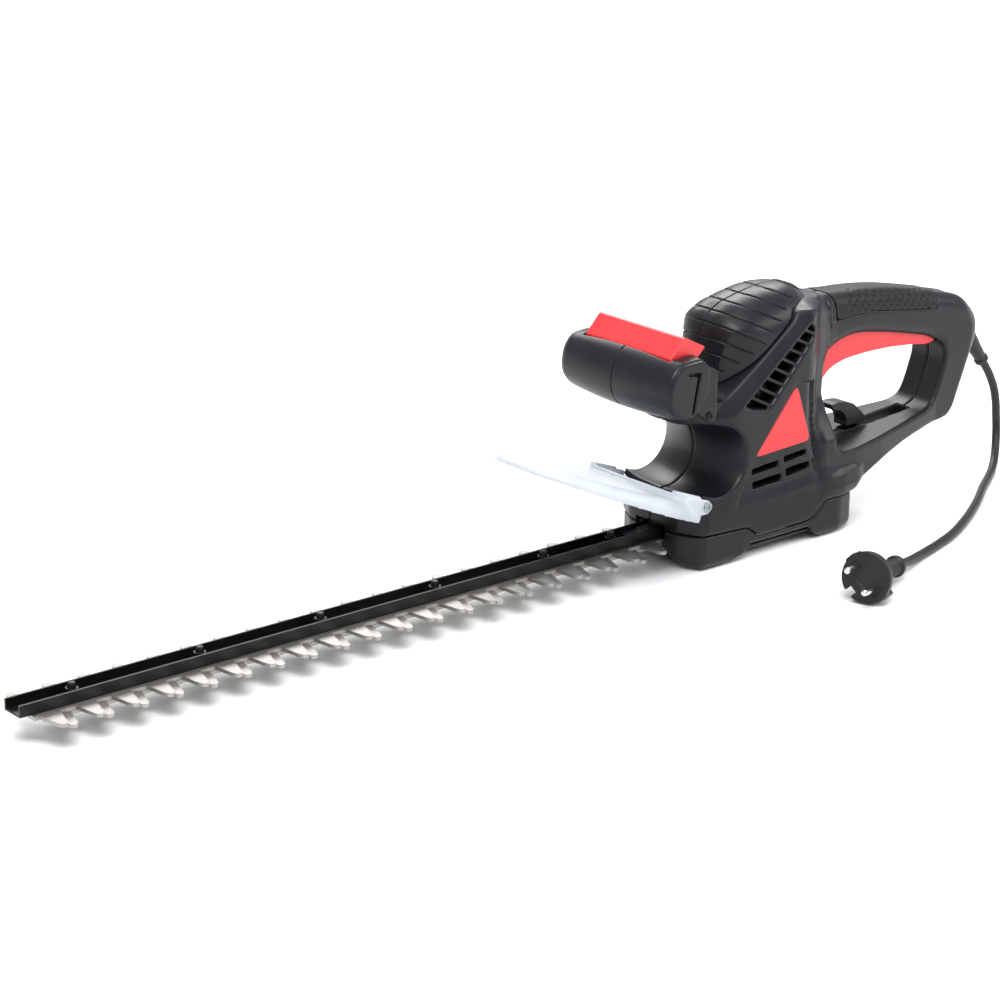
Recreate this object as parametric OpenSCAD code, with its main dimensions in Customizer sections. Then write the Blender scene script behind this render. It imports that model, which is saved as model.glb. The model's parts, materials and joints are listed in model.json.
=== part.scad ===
// Electric hedge trimmer with a double-edged counter-moving cutter bar.
// Frame: the origin lies on the underside of the base, below the motor, +Z is up,
// +X points to the rear handle and the cutter bar points along -X.
// The operator looks along -X, so the left half is the one on the -Y side.

/* [Cutter bar] */
// Distance from one tooth to the next
tooth_pitch = 26; // [20:1:32]
// Teeth on each side of a blade
tooth_count = 20; // [10:1:24]
// Distance from the centre line to a tooth tip
tooth_reach = 32; // [27:1:40]
// Tooth tip nearest the housing, measured from the origin
last_tooth_x = -106; // [-112:1:-102]
// Half the width of the blade's solid spine
spine_half_w = 12; // [11:0.5:15]
// Thickness of one blade
blade_t = 2.5; // [2:0.1:3]
// Gap between the two blades, and between a blade and what guides it
blade_gap = 0.3; // [0.25:0.05:0.5]
// Height of the upper blade's top face above the base
blade_top = 20; // [19:0.5:22]
// Outer width of the U-shaped guide bar
channel_w = 17.4; // [15:0.2:24]
// Height of the U-shaped guide bar
channel_h = 7.8; // [6:0.2:12]
// Sheet thickness of the guide bar
channel_wall = 1.5; // [1:0.1:2]
// Shank diameter of the guide studs
stud_d = 6; // [4:0.5:7]

/* [Drive] */
// Distance from the gear's axis to the centre of an eccentric
crank = 6.5; // [5:0.5:8]
// Diameter of each eccentric disc
eccentric_d = 26; // [22:1:30]
// Tooth size of the gear and pinion
gear_module = 1; // [0.8:0.1:1.1]
// Teeth on the large gear
gear_teeth = 60; // [48:6:60]
// Teeth on the motor pinion
pinion_teeth = 10; // [10:2:12]
// Thickness of the large gear
gear_t = 8; // [6:1:10]
// Diameter of the fixed axle that the gear turns on
axle_d = 8; // [6:0.5:10]

/* [Motor] */
// Diameter of the stator stack
stator_d = 54; // [46:1:58]
// Height of the stator stack
stator_h = 40; // [30:1:44]
// Diameter of the rotor stack
rotor_d = 30; // [24:1:32]
// Diameter of the motor shaft
shaft_d = 8; // [6:0.5:9]
// Diameter of the cooling fan
fan_d = 52; // [40:1:56]
// Diameter of the commutator
commutator_d = 20; // [16:1:24]

/* [Housing] */
// Half the width of the housing at the motor
body_half_w = 42; // [38:1:50]
// Half the width of the rear handle
grip_half_w = 18; // [15:1:22]
// Wall thickness of the moulded shells
wall = 2.6; // [2:0.1:3]
// Gap at the joint lines between shells
seam = 0.2; // [0.1:0.05:0.4]
// Radius of the hollow under the front handle
throat_r = 25.5; // [22:0.5:27]
// Thickness of the soft grip on the rear handle
grip_t = 1.6; // [1:0.1:2]
// Thread diameter of the housing screws
screw_d = 4; // [3:0.5:5]

/* [Front handle] */
// Half the length of the front handle
handle_half_len = 55; // [50:1:66]
// Half the length of the front safety lever
lever_half_len = 43; // [36:1:44]
// Diameter of the hinge pins of the lever and the trigger
pin_d = 4; // [3:0.5:5]

/* [Rear trigger] */
// Half the width of the rear trigger
trigger_half_w = 12; // [9:0.5:13]

/* [Hand guard] */
// Thickness of the clear hand guard
guard_t = 3; // [2:0.5:4]
// Slope of the guard above level
guard_angle = 20.8; // [15:0.5:24]
// Length of the guard along its slope
guard_len = 158; // [120:1:170]
// Half the width of the guard at its widest
guard_half_w = 60; // [50:1:70]

/* [Cord and plug] */
// Diameter of the mains cord
cord_d = 6.4; // [5.5:0.1:7]
// Diameter of the plug's face
plug_d = 36; // [34:1:38]
// Diameter of the plug's pins
plug_pin_d = 4.8; // [4:0.1:5]
// Length of the plug's pins
plug_pin_len = 19; // [18:0.5:20]

/* [Hidden] */
$fn = 48;

// Clearances: a running fit, a slip fit and free room around what moves.
fit = 0.05;
slip = 0.15;
room = 0.4;

// Colours of the finishes.
black = "#2b2d30";
soft_black = "#1f2022";
red = "#f0504c";
steel = "#a8a8a4";
clear = "#dfe9f0";

// Heights of the blades and of the guide bar that rides on them.
upper_z = blade_top - blade_t;
lower_z = upper_z - blade_gap - blade_t;
under_z = lower_z - blade_gap;
channel_z = blade_top + blade_gap;
first_tooth_x = last_tooth_x - (tooth_count - 1) * tooth_pitch;
bar_front_x = first_tooth_x - 18;
bar_rear_x = -80;
tooth_root_w = 15;
tooth_tip_r = 3;
spine_front_x = first_tooth_x - 10;
first_stud_x = first_tooth_x + 25;
last_stud_x = last_tooth_x - 23;
stud_step = 0.215 * (last_stud_x - first_stud_x);
lower_tooth_count = tooth_count - 1;
stud_xs = concat([for (i = [0:4]) first_stud_x + i * stud_step], [last_stud_x]);

// The gear pair and the eccentrics. At rest the upper blade stands at the rear end of its
// stroke and the lower blade at the front end of its own.
// The blades follow the gear by a constant ratio, so each yoke is longer by yoke_play.
gear_x = -43;
motor_x = gear_x + gear_module * (gear_teeth + pinion_teeth) / 2;
gear_z = blade_top + 7;
yoke_play = 0.211 * crank;
travel = 2 * crank;
lower_shift = 0.3 * tooth_pitch;
ecc_r = eccentric_d / 2;
yoke_half_y = ecc_r + crank + room;
yoke_rim = 6;
plate_y = max(30, yoke_half_y + yoke_rim + 3.9);
plate_half_w = plate_y + 4;
gear_plate_z = gear_z + gear_t + 3;
gear_plate_t = 9;
base_plate_t = 3;

// Motor heights.
bearing_z = gear_plate_z + 2;
fan_z = gear_plate_z + gear_plate_t + 10;
stator_z = fan_z + 24;
coil_h = 10;
commutator_z = stator_z + stator_h + coil_h + 3;
commutator_h = 12;
top_bearing_z = commutator_z + commutator_h + 14;
shaft_top = top_bearing_z + 7;

// Housing outlines in the side view, as x and z.
throat_x = -74.5;
throat_z = 79;
lower_top = 49;
cover_line = [[-94, 26.8], [-35, 24], [-24, 16], [22, 16], [31, 18], [43, 28], [84, 28.6]];
roof_line = [[-56, 124], [-36, 129], [5, 170], [12, 174.5], [52, 172]];
body_outline = concat(cover_line, [[84, 43], [78, 50], [62, 58], [60, 100], [58, 150]],
    [for (i = [4:-1:0]) roof_line[i]],
    [[-90, 124], [-90, 113], [-80, 54], [-90, 44]]);
handle_outline = [[40, 34], [83, 34], [94, 37.5], [114, 44], [142, 50], [178, 54],
    [190, 54.5], [201, 56.5], [207, 62], [226, 98], [232, 112], [232, 126], [227, 135],
    [218, 143], [205, 149], [172, 157], [140, 164], [122, 167], [100, 169.5], [80, 170.5],
    [40, 171]];
loop_outline = [[55, 66], [55, 104], [56, 118], [64, 128], [83, 135.5], [101, 136],
    [134, 130], [174, 120.5], [188, 114], [190, 103], [183, 84], [177, 71], [168, 67.5],
    [120, 64], [78, 61], [62, 61]];
hump_outline = concat([for (p = roof_line) [p[0], p[1] + seam]],
    [[54, 176], [46, 181], [34, 184.5], [10, 185.5], [-12, 182.5], [-30, 177],
    [-41, 170.5], [-48, 162], [-51, 150], [-52, 128]]);
barrel_outline = [[-118, 119], [-127, 124], [-132.5, 132], [-134, 141], [-132, 152],
    [-127, 160], [-120, 164.5], [-100, 165], [-93, 161], [-90, 152], [-91, 140],
    [-95, 130], [-103, 122], [-110, 119]];
arm_outline = [[-102, 128], [-79, 111.5], [-76, 114], [-76, 150], [-93, 158]];

// Front lever and rear trigger.
lever_axis = [-99.5, 155];
lever_outline = [[-117, 163], [-105, 176], [-85, 166], [-92, 159.5], [-96.5, 158],
    [-96.5, 151], [-117, 151]];
trigger_axis = [184, 121];
trigger_outline = [[53, 103], [61, 103], [66, 110.5], [74, 116], [88, 119.5],
    [110, 120.5], [134, 120], [157, 118], [176, 115], [184, 117], [187, 121], [184, 124.6],
    [150, 130.5], [120, 135.5], [95, 139], [76, 138], [61, 129], [53, 114]];
trigger_slot = [[40, 101.5], [40, 147], [150, 147], [191, 130], [191, 117], [176, 112],
    [60, 100.5]];
trigger_spring_x = 84;
lever_spring_x = -110;

// Screw bosses in the side view, as x and z.
boss_spots = [[-80, 114], [-47, 112], [46, 118], [45, 44], [60.5, 162], [204, 137],
    [198, 66], [99, 51]];
boss_r = screw_d / 2 + 4;
screw_head_r = 3.6;
screw_head_y = 10;

// Louvre slots along the sloping side band, and the four lower windows.
louvre_count = 10;
louvre_from = [-38, 114];
louvre_to = [22, 160];
windows = [[-20, 68, 26], [10, 70, 23], [-18, 58, 26], [12, 60, 21]];
badge_outline = [[9, 121], [24, 78], [-30, 75]];

// The cord's route from the strain relief to the plug, points chosen by hand.
route = [[252, 0, 86], [258, 0, 78.5], [263.5, 0, 70], [268, 0, 60.5], [271.5, 0.5, 50],
    [273.5, 1, 39.5], [273.5, 0, 29], [270, -3.5, 18.5], [262, -10, 9.5], [250, -18.5, 4.6],
    [236, -27.5, 3.3], [211, -43.5, 3.3], [187, -60, 3.3], [163, -75, 3.3],
    [138, -89, 3.3], [113, -101, 3.3], [92, -108.5, 3.3], [74, -114, 3.4],
    [57.5, -119.3, 4.1], [44, -124.6, 5.7], [31, -129.6, 7.7], [18, -134.6, 9.9]];
relief_len = 34;
relief_dir = unit(route[1] - route[0]);
relief_exit = route[0] - relief_dir * relief_len;
relief_tilt = atan2(relief_dir[0], relief_dir[2]);
plug_len = 57;
plug_tilt = 81;
plug_heading = 201;
plug_roll = 47;
plug_dir = [sin(plug_tilt) * cos(plug_heading), sin(plug_tilt) * sin(plug_heading),
    cos(plug_tilt)];
plug_face = route[len(route) - 1] + plug_dir * plug_len;

function unit(v) = v / norm(v);
function lerp(a, b, t) = a + (b - a) * t;

// Involute gear outline, in degrees and millimetres.
pressure = 25;
backlash = 0.12;
function involute(a) = tan(a) * 180 / PI - a;
function tooth_half(r, rp) =
    let (rb = rp * cos(pressure))
    involute(pressure) - involute(acos(min(1, rb / max(r, rb))));
function gear_points(teeth) =
    let (rp = gear_module * teeth / 2)
    let (rs = [rp - 1.15 * gear_module, rp - 0.4 * gear_module, rp, rp + 0.4 * gear_module,
        rp + 0.8 * gear_module])
    let (w = 90 / teeth - backlash / 2 / rp * 180 / PI)
    [for (i = [0:teeth - 1], s = [-1, 1], k = [0:4])
        let (r = s < 0 ? rs[k] : rs[4 - k])
        let (a = i * 360 / teeth + s * (w + tooth_half(r, rp)))
        [r * cos(a), r * sin(a)]];

// Rings of a round tube along a list of points, for the cord and the springs.
function ring(p, d, r, n) =
    let (up = abs(d[2]) > 0.9 ? [0, 1, 0] : [0, 0, 1])
    let (a = unit(cross(d, up)))
    let (b = cross(d, a))
    [for (i = [0:n - 1]) p + r * (cos(i * 360 / n) * a + sin(i * 360 / n) * b)];
function heading(ps, i) =
    unit(ps[min(i + 1, len(ps) - 1)] - ps[max(i - 1, 0)]);
function ring_start(ps, i, r, n, a) =
    let (d = heading(ps, i))
    let (b = unit(a - d * (a * d)))
    [for (k = [0:n - 1]) ps[i] + r * (cos(k * 360 / n) * b + sin(k * 360 / n) * cross(d, b))];

module tube(ps, r, n) {
    // The side direction is carried from ring to ring, so the tube never twists.
    a0 = abs(heading(ps, 0)[1]) > 0.9 ? [1, 0, 0] : [0, 1, 0];
    rings = [for (i = 0, a = a0; i < len(ps);
        a = unit(a - heading(ps, i) * (a * heading(ps, i))), i = i + 1)
        ring_start(ps, i, r, n, a)];
    points = [for (q = rings, p = q) p];
    last = (len(ps) - 1) * n;
    sides = [for (i = [0:len(ps) - 2], k = [0:n - 1])
        [i * n + k, i * n + (k + 1) % n, (i + 1) * n + (k + 1) % n, (i + 1) * n + k]];
    ends = [[for (k = [n - 1:-1:0]) k], [for (k = [0:n - 1]) last + k]];
    polyhedron(points, [for (f = concat(sides, ends)) [for (j = [len(f) - 1:-1:0]) f[j]]]);
}

module helix(r, wire, height, turns) {
    steps = turns * 10;
    tube([for (i = [0:steps]) [r * cos(i * 36), r * sin(i * 36), height * i / steps]],
        wire / 2, 6);
}

// Extrudes an outline given as x and z along Y, from y0 to y1.
module along_y(y0, y1) {
    translate([0, y1, 0]) rotate([90, 0, 0]) linear_extrude(y1 - y0) children();
}

// Extrudes an outline given as y and z along X, from x0 to x1.
module along_x(x0, x1) {
    translate([x0, 0, 0]) rotate([90, 0, 90]) linear_extrude(x1 - x0) children();
}

module half_space(side) {
    y0 = side < 0 ? -150 : seam / 2;
    translate([-300, y0, -10]) cube([700, 150 - seam / 2, 300]);
}

// A plan outline given for +Y, mirrored to both sides and extruded.
module plan_block(points, z0, z1) {
    back = [for (i = [len(points) - 1:-1:0]) [points[i][0], -points[i][1]]];
    translate([0, 0, z0]) linear_extrude(z1 - z0) polygon(concat(points, back));
}

function upper_plan(w) = [[-94 + body_half_w - w, w - 12], [-84, w], [30, w],
    [60 - (body_half_w - w), w - 20]];
function lower_plan(w) = [[-94 + body_half_w - w, w - 12], [-84, w], [60, w],
    [78 - (body_half_w - w) / 2, w - 5], [84 - (body_half_w - w), w - 13]];

module body_solid(inset) {
    w = body_half_w - inset;
    intersection() {
        along_y(-w, w) difference() {
            offset(delta = -inset) polygon(body_outline);
            offset(delta = inset) polygon(loop_outline);
        }
        union() {
            plan_block(upper_plan(w), lower_top - inset - 1, 200);
            plan_block(lower_plan(w), 0, lower_top - inset);
        }
    }
}

module handle_solid(inset) {
    along_y(-grip_half_w + inset, grip_half_w - inset) offset(delta = -inset) difference() {
        polygon(handle_outline);
        polygon(loop_outline);
    }
}

module throat(grow) {
    translate([throat_x, 100, throat_z]) rotate([90, 0, 0])
        cylinder(r = throat_r + grow, h = 200, $fn = 96);
}

module grip_zone() {
    along_y(-40, 40) polygon([[70, 151], [66, 175], [186, 165], [174, 144], [150, 147],
        [110, 153]]);
}

module soft_grip_solid() {
    difference() {
        intersection() {
            handle_solid(0);
            grip_zone();
        }
        handle_solid(grip_t);
    }
}

module boss_holes(side) {
    for (p = boss_spots) translate([p[0], 0, p[1]]) rotate([-90, 0, 0]) {
        translate([0, 0, -14]) cylinder(d = screw_d + 2 * fit, h = 100);
        if (side > 0) translate([0, 0, screw_head_y]) cylinder(r = screw_head_r + slip, h = 60);
    }
}

module bosses(side) {
    for (p = boss_spots) {
        reach = p[0] < 60 ? body_half_w - wall / 2 : grip_half_w - wall / 2;
        y0 = side < 0 ? -reach : seam / 2;
        translate([p[0], y0, p[1]]) rotate([-90, 0, 0])
            cylinder(r = boss_r, h = reach - seam / 2);
    }
}

module side_openings() {
    step = (louvre_to - louvre_from) / (louvre_count - 1);
    along_y(-body_half_w - 1, body_half_w + 1) {
        for (i = [0:louvre_count - 1]) translate(louvre_from + step * i) polygon(
            [[-7, -4], [3, -4], [7, 0.6], [-3, 0.6]]);
        for (w = windows) translate([w[0], w[1]]) square([w[2], 5], center = true);
    }
}

module relief_axis() {
    translate(relief_exit) rotate([0, relief_tilt, 0]) children();
}

module housing_half(side) {
    difference() {
        intersection() {
            union() {
                difference() {
                    union() {
                        difference() {
                            body_solid(0);
                            throat(0);
                        }
                        handle_solid(0);
                    }
                    difference() {
                        body_solid(wall);
                        throat(wall);
                    }
                    handle_solid(wall);
                    // Room for the motor under its own cover.
                    translate([motor_x, 0, 60]) cylinder(d = stator_d + 7, h = 140);
                    // The underside is open over the lower cover.
                    along_y(-body_half_w + wall, body_half_w - wall) polygon(concat(
                        [for (p = cover_line) [max(-90, min(p[0], 80)), p[1] - 1]],
                        [[80, 34], [-90, 34]]));
                    soft_grip_solid();
                }
                difference() {
                    union() {
                        bosses(side);
                        ribs(side);
                    }
                    soft_grip_solid();
                }
            }
            half_space(side);
        }
        boss_holes(side);
        side_openings();
        along_y(-trigger_half_w - slip, trigger_half_w + slip) polygon(trigger_slot);
        // Mouth for the blades and the guide bar.
        translate([-100, -spine_half_w - 2, 0])
            cube([20, 2 * spine_half_w + 4, channel_z + channel_h + 0.6]);
        // Pocket for the extension cord and the foot of its hook.
        translate([117, -6.5, 30]) cube([49, 13, 45]);
        translate([98, -4.5 - slip, 56]) cube([18, 9 + 2 * slip, 20]);
        relief_axis() {
            translate([0, 0, -30]) cylinder(r = 5.6 + fit, h = 60);
            translate([0, 0, -12 - slip]) cylinder(r = 7.2 + slip, h = 4 + 2 * slip);
        }
        guard_holes();
        arm_holes();
        trigger_pin_hole();
    }
    trigger_ears(side);
}

// Ribs from the side wall to what they hold, as x0, x1, z0, z1 and the distance off centre.
rib_spots = [[motor_x - 4, motor_x + 4, stator_z + 3, stator_z + stator_h - 3, stator_d / 2],
    [-58, -50, gear_plate_z - 1, gear_plate_z + gear_plate_t + 3, plate_half_w],
    [-6, 2, gear_plate_z - 1, gear_plate_z + gear_plate_t + 3, plate_half_w],
    [30, 40, 76, 96, 9], [112, 132, 150, 153, 5], [196, 206, 82, 88, 9]];
module ribs(side) {
    for (b = rib_spots) {
        reach = b[0] < 60 ? body_half_w - wall / 2 : grip_half_w - wall / 2;
        along_y(side < 0 ? -reach : b[4] + slip, side < 0 ? -b[4] - slip : reach)
            translate([b[0], b[2]]) square([b[1] - b[0], b[3] - b[2]]);
    }
    // Posts for the rear screws of the lower cover.
    for (p = cover_screw_spots) if (p[0] > 0 && p[1] * side > 0) difference() {
        intersection() {
            translate([p[0], p[1], under_z - base_plate_t]) cylinder(r = boss_r, h = 60);
            union() {
                body_solid(0);
                translate([40, -30, 0]) cube([34, 60, 40]);
            }
        }
        translate([p[0], p[1], 0]) cylinder(d = screw_d + 2 * fit, h = 30);
    }
}

module trigger_pin_hole() {
    translate([trigger_axis[0], -grip_half_w + 1.5, trigger_axis[1]]) rotate([-90, 0, 0])
        cylinder(d = pin_d + 2 * fit, h = 2 * grip_half_w - 3);
}

module trigger_ears(side) {
    y0 = side < 0 ? -grip_half_w + wall / 2 : trigger_half_w + room;
    difference() {
        translate([trigger_axis[0], y0, trigger_axis[1]]) rotate([-90, 0, 0])
            cylinder(r = pin_d / 2 + 3, h = grip_half_w - wall / 2 - trigger_half_w - room);
        trigger_pin_hole();
        along_y(-60, 60) polygon(loop_outline);
    }
}

guard_screw_x = -80;
guard_screw_z = 50.5;
module guard_holes() {
    for (s = [-1, 1]) translate([guard_screw_x, s * (body_half_w + 4), guard_screw_z])
        rotate([s * 90, 0, 0]) cylinder(d = screw_d + 2 * fit, h = 16);
}

arm_screw = [-84, 118];
module arm_holes() {
    for (s = [-1, 1]) translate([arm_screw[0], s * (body_half_w + 8), arm_screw[1]])
        rotate([s * 90, 0, 0]) cylinder(d = screw_d + 2 * fit, h = 20);
}

module left_housing_half() {
    color(black) housing_half(-1);
}

module right_housing_half() {
    color(black) housing_half(1);
}

// Lower cover: two feet with a raised belly between them and a flat keel in the middle.
cover_side = [[84, 28.6 - seam], [80, 10], [74, 3], [66, 0], [40, 0], [35, 4], [-43, 4],
    [-48, 0], [-76, 0], [-88, 6], [-94, 14], [-94, 26.8 - seam]];
cover_screw_spots = [[-60, 30], [-60, -30], [64, 22], [64, -22]];
cover_head_z = 4;
module cover_solid(inset) {
    w = body_half_w - 2 - inset;
    intersection() {
        along_y(-w, w) offset(delta = -inset) polygon(concat(cover_side,
            [for (p = cover_line) [p[0], p[1] - seam + inset * 2]]));
        plan_block([[-94 + inset, w - 14], [-80, w], [58, w], [74, w - 5], [80 - inset, w - 13]],
            -1, 60);
    }
}

module lower_cover() {
    color(black) difference() {
        union() {
            difference() {
                cover_solid(0);
                cover_solid(wall);
            }
            translate([-58, -13, 0]) cube([112, 26, 5]);
            for (p = cover_screw_spots) translate([p[0], p[1], 1])
                cylinder(r = boss_r, h = under_z - base_plate_t - 1.2);
        }
        translate([-100, -spine_half_w - 2, lower_z - 1.5])
            cube([22, 2 * spine_half_w + 4, 30]);
        for (p = cover_screw_spots) translate([p[0], p[1], -1]) {
            cylinder(d = screw_d + 2 * fit, h = 30);
            cylinder(r = screw_head_r + slip, h = 1 + cover_head_z);
        }
    }
}

module hump_solid(inset) {
    w = 38 - inset;
    intersection() {
        along_y(-60, 60) offset(delta = -inset) polygon(hump_outline);
        along_x(-60, 70) polygon([[-w, 110], [-w, 164], [-w + 4, 176 - inset],
            [-w + 13, 182 - inset], [0, 187 - inset], [w - 13, 182 - inset],
            [w - 4, 176 - inset], [w, 164], [w, 110]]);
        plan_block([[-57 + inset, w - 12], [-50, w - 5], [-38, w], [60, w]], 100, 200);
    }
}

module motor_cover(side) {
    // Ribs that hold the plate over the motor's upper bearing.
    along_y(side < 0 ? -36 : 22 + slip, side < 0 ? -22 - slip : 36)
        translate([motor_x - 6, top_bearing_z - 2]) square([5, 6]);
    difference() {
        intersection() {
            hump_solid(0);
            half_space(side);
        }
        hump_solid(wall);
        translate([motor_x, 0, 60]) cylinder(d = stator_d + 6, h = 100);
        along_y(-34, 34) polygon([[-46, 100], [-46, 150], [-20, 165], [0, 170], [40, 175],
            [46, 160], [20, 120]]);
    }
}

module left_motor_cover() {
    color(black) motor_cover(-1);
}

module right_motor_cover() {
    color(black) motor_cover(1);
}

module barrel_solid(inset) {
    w = handle_half_len - inset;
    intersection() {
        along_y(-w, w) offset(delta = -inset) polygon(barrel_outline);
        along_x(-150, -70) polygon([[-w, 130], [-w + 5, 124], [-w + 25, 119.5 + inset],
            [0, 118 + inset], [w - 25, 119.5 + inset], [w - 5, 124], [w, 130], [w, 158],
            [w - 4, 164], [-w + 4, 164], [-w, 158]]);
    }
}

module front_handle(side) {
    inner = lever_half_len - 2;
    difference() {
        intersection() {
            union() {
                difference() {
                    barrel_solid(0);
                    intersection() {
                        barrel_solid(3);
                        translate([-140, -inner, 100]) cube([60, 2 * inner, 80]);
                    }
                }
                for (s = [-1, 1]) along_y(s > 0 ? body_half_w + slip : -body_half_w - 6,
                    s > 0 ? body_half_w + 6 : -body_half_w - slip) polygon(arm_outline);
                translate([lever_spring_x, 0, 121]) cylinder(r = 5, h = 17);
                intersection() {
                    barrel_solid(0);
                    translate([-117, 19, 110]) cube([14, 6, 22.4 - slip]);
                }
            }
            half_space(side);
        }
        // Pocket for the safety lever, with room behind it for the overhang.
        translate([-118.6, -lever_half_len - room, 148])
            cube([23.4, 2 * (lever_half_len + room), 30]);
        translate([-97, -lever_half_len - room, 157.5])
            cube([20, 2 * (lever_half_len + room), 20]);
        arm_holes();
        lever_pin_hole();
    }
}

module lever_pin_hole() {
    translate([lever_axis[0], -lever_half_len - 8, lever_axis[1]]) rotate([-90, 0, 0])
        cylinder(d = pin_d + 2 * fit, h = 2 * lever_half_len + 16);
}

module left_front_handle() {
    color(black) front_handle(-1);
}

module right_front_handle() {
    color(black) front_handle(1);
}

module soft_grip() {
    color(soft_black) soft_grip_solid();
}

module badge(side) {
    y0 = side < 0 ? -body_half_w - 0.8 : body_half_w;
    color(red) along_y(y0, y0 + 0.8) offset(r = 3, $fn = 24) offset(delta = -3)
        polygon(badge_outline);
}

module left_badge() {
    badge(-1);
}

module right_badge() {
    badge(1);
}

module cord_hook() {
    color(soft_black) {
        along_y(-6.5, 6.5) polygon([[97, 64.6], [121, 65.6], [117, 70], [111, 76],
            [105, 81], [97, 84], [88, 85], [81, 84], [84, 79.5], [91, 78], [96, 74],
            [98, 69]]);
        translate([98.3, -4.5, 57]) cube([17.4, 9, 8.2]);
    }
}

// Clear guard: a sloping plate with two ears that lie on the sides of the lip.
module hand_guard() {
    half = [[-guard_len, 0], [-guard_len + 2, 12], [-guard_len + 8, 24], [-guard_len + 18, 35],
        [-guard_len + 32, 45], [-guard_len + 52, 54], [-guard_len + 76, guard_half_w],
        [-52, guard_half_w], [-30, 54], [-14, body_half_w + 2], [-14, 0]];
    other = [for (i = [len(half) - 2:-1:1]) [half[i][0], -half[i][1]]];
    color(clear, 0.5) difference() {
        union() {
            translate([-80, 0, 48]) rotate([0, guard_angle, 0]) linear_extrude(guard_t)
                polygon(concat(half, other));
            for (s = [-1, 1]) along_y(s > 0 ? body_half_w + slip : -body_half_w - 3,
                s > 0 ? body_half_w + 3 : -body_half_w - slip)
                polygon([[-104, 52], [-98, 46], [-76, 44], [-72, 48], [-73, 54.5], [-98, 63]]);
        }
        guard_holes();
    }
}

module screw(length, head_h) {
    cylinder(d = screw_d, h = length);
    translate([0, 0, length]) cylinder(r = screw_head_r, h = head_h);
}

module guard_screws() {
    color(steel) {
        for (s = [-1, 1]) translate([guard_screw_x, s * (body_half_w - 8), guard_screw_z])
            rotate([-s * 90, 0, 0]) screw(11, 1.8);
        for (s = [-1, 1]) translate([arm_screw[0], s * (body_half_w - 8), arm_screw[1]])
            rotate([-s * 90, 0, 0]) screw(14, 1.8);
    }
}

module housing_screws() {
    color(steel) for (p = boss_spots) translate([p[0], -13, p[1]]) rotate([-90, 0, 0])
        screw(13 + screw_head_y, 2.4);
}

module cover_screws() {
    color(steel) for (p = cover_screw_spots) {
        top = p[0] < 0 ? under_z - 0.4 : 25;
        translate([p[0], p[1], top]) rotate([180, 0, 0]) screw(top - cover_head_z, 2.4);
    }
}

module front_lever() {
    color(red) difference() {
        along_y(-lever_half_len, lever_half_len) polygon(lever_outline);
        along_y(-lever_half_len + 3, -14) polygon([[-114, 150], [-114, 162], [-106, 171],
            [-104, 170], [-104, 150]]);
        along_y(14, lever_half_len - 3) polygon([[-114, 150], [-114, 162], [-106, 171],
            [-104, 170], [-104, 150]]);
        lever_pin_hole();
    }
}

module lever_pin() {
    color(steel) translate([lever_axis[0], -lever_half_len - 7, lever_axis[1]])
        rotate([-90, 0, 0]) cylinder(d = pin_d, h = 2 * lever_half_len + 14);
}

module lever_spring() {
    color(steel) translate([lever_spring_x, 0, 138.8]) helix(3.4, 0.9, 11.4, 5);
}

module rear_trigger() {
    color(red) difference() {
        along_y(-trigger_half_w, trigger_half_w) polygon(trigger_outline);
        translate([0, 0, 0]) trigger_pin_hole();
    }
}

module trigger_pin() {
    color(steel) translate([trigger_axis[0], -grip_half_w + 2, trigger_axis[1]])
        rotate([-90, 0, 0]) cylinder(d = pin_d, h = 2 * grip_half_w - 4);
}

module trigger_spring() {
    color(steel) translate([trigger_spring_x, 0, 139.8]) helix(3.6, 0.9, 26.6, 7);
}

// A snap switch: its case and the plunger, which stands out above or below.
module switch_box(x, y, z, size, above, below) {
    translate([x, y, z]) cube(size);
    translate([x + size[0] / 2 - 2, y + size[1] / 2 - 1.5, z - below])
        cube([4, 3, size[2] + above + below]);
}

module front_switch() {
    color(soft_black) switch_box(-118, 18, 132.4, [16, 8, 15], 2, 0);
}

module rear_switch() {
    color(soft_black) switch_box(108, -5, 145, [28, 10, 15], 0, 5.5);
}

// Guide bar: a U-shaped channel, open upwards, screwed to the gearbox at its rear end.
module guide_bar() {
    color(soft_black) difference() {
        translate([bar_front_x, -channel_w / 2, channel_z])
            cube([bar_rear_x - bar_front_x, channel_w, channel_h]);
        translate([bar_front_x - 1, -channel_w / 2 + channel_wall, channel_z + channel_wall])
            cube([bar_rear_x - bar_front_x + 2, channel_w - 2 * channel_wall, channel_h]);
        for (x = stud_xs) translate([x, 0, 0]) cylinder(d = stud_d + 2 * fit, h = 60);
        for (x = bar_screw_xs) translate([x, 0, 0]) cylinder(d = screw_d + 2 * fit, h = 60);
    }
}

bar_floor_z = channel_z + channel_wall;
bar_screw_xs = [bar_rear_x - 20];
module bar_bracket() {
    w = channel_w - 2 * channel_wall - 2 * slip;
    color(steel) difference() {
        translate([0, -w / 2, 0]) along_y(0, w) polygon([[-110, bar_floor_z],
            [-109, bar_floor_z + 2.4], [-94, bar_floor_z + 2.4], [-86, gear_z],
            [plate_front - 1.6, gear_plate_z - 4],
            [plate_front - 1.6, gear_plate_z + 7], [plate_front - 0.1, gear_plate_z + 7],
            [plate_front - 0.1, gear_plate_z - 8], [-83, gear_z - 2], [-84, bar_floor_z]]);
        for (x = bar_screw_xs) translate([x, 0, 0]) cylinder(d = screw_d + 2 * fit, h = 60);
    }
}

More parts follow.
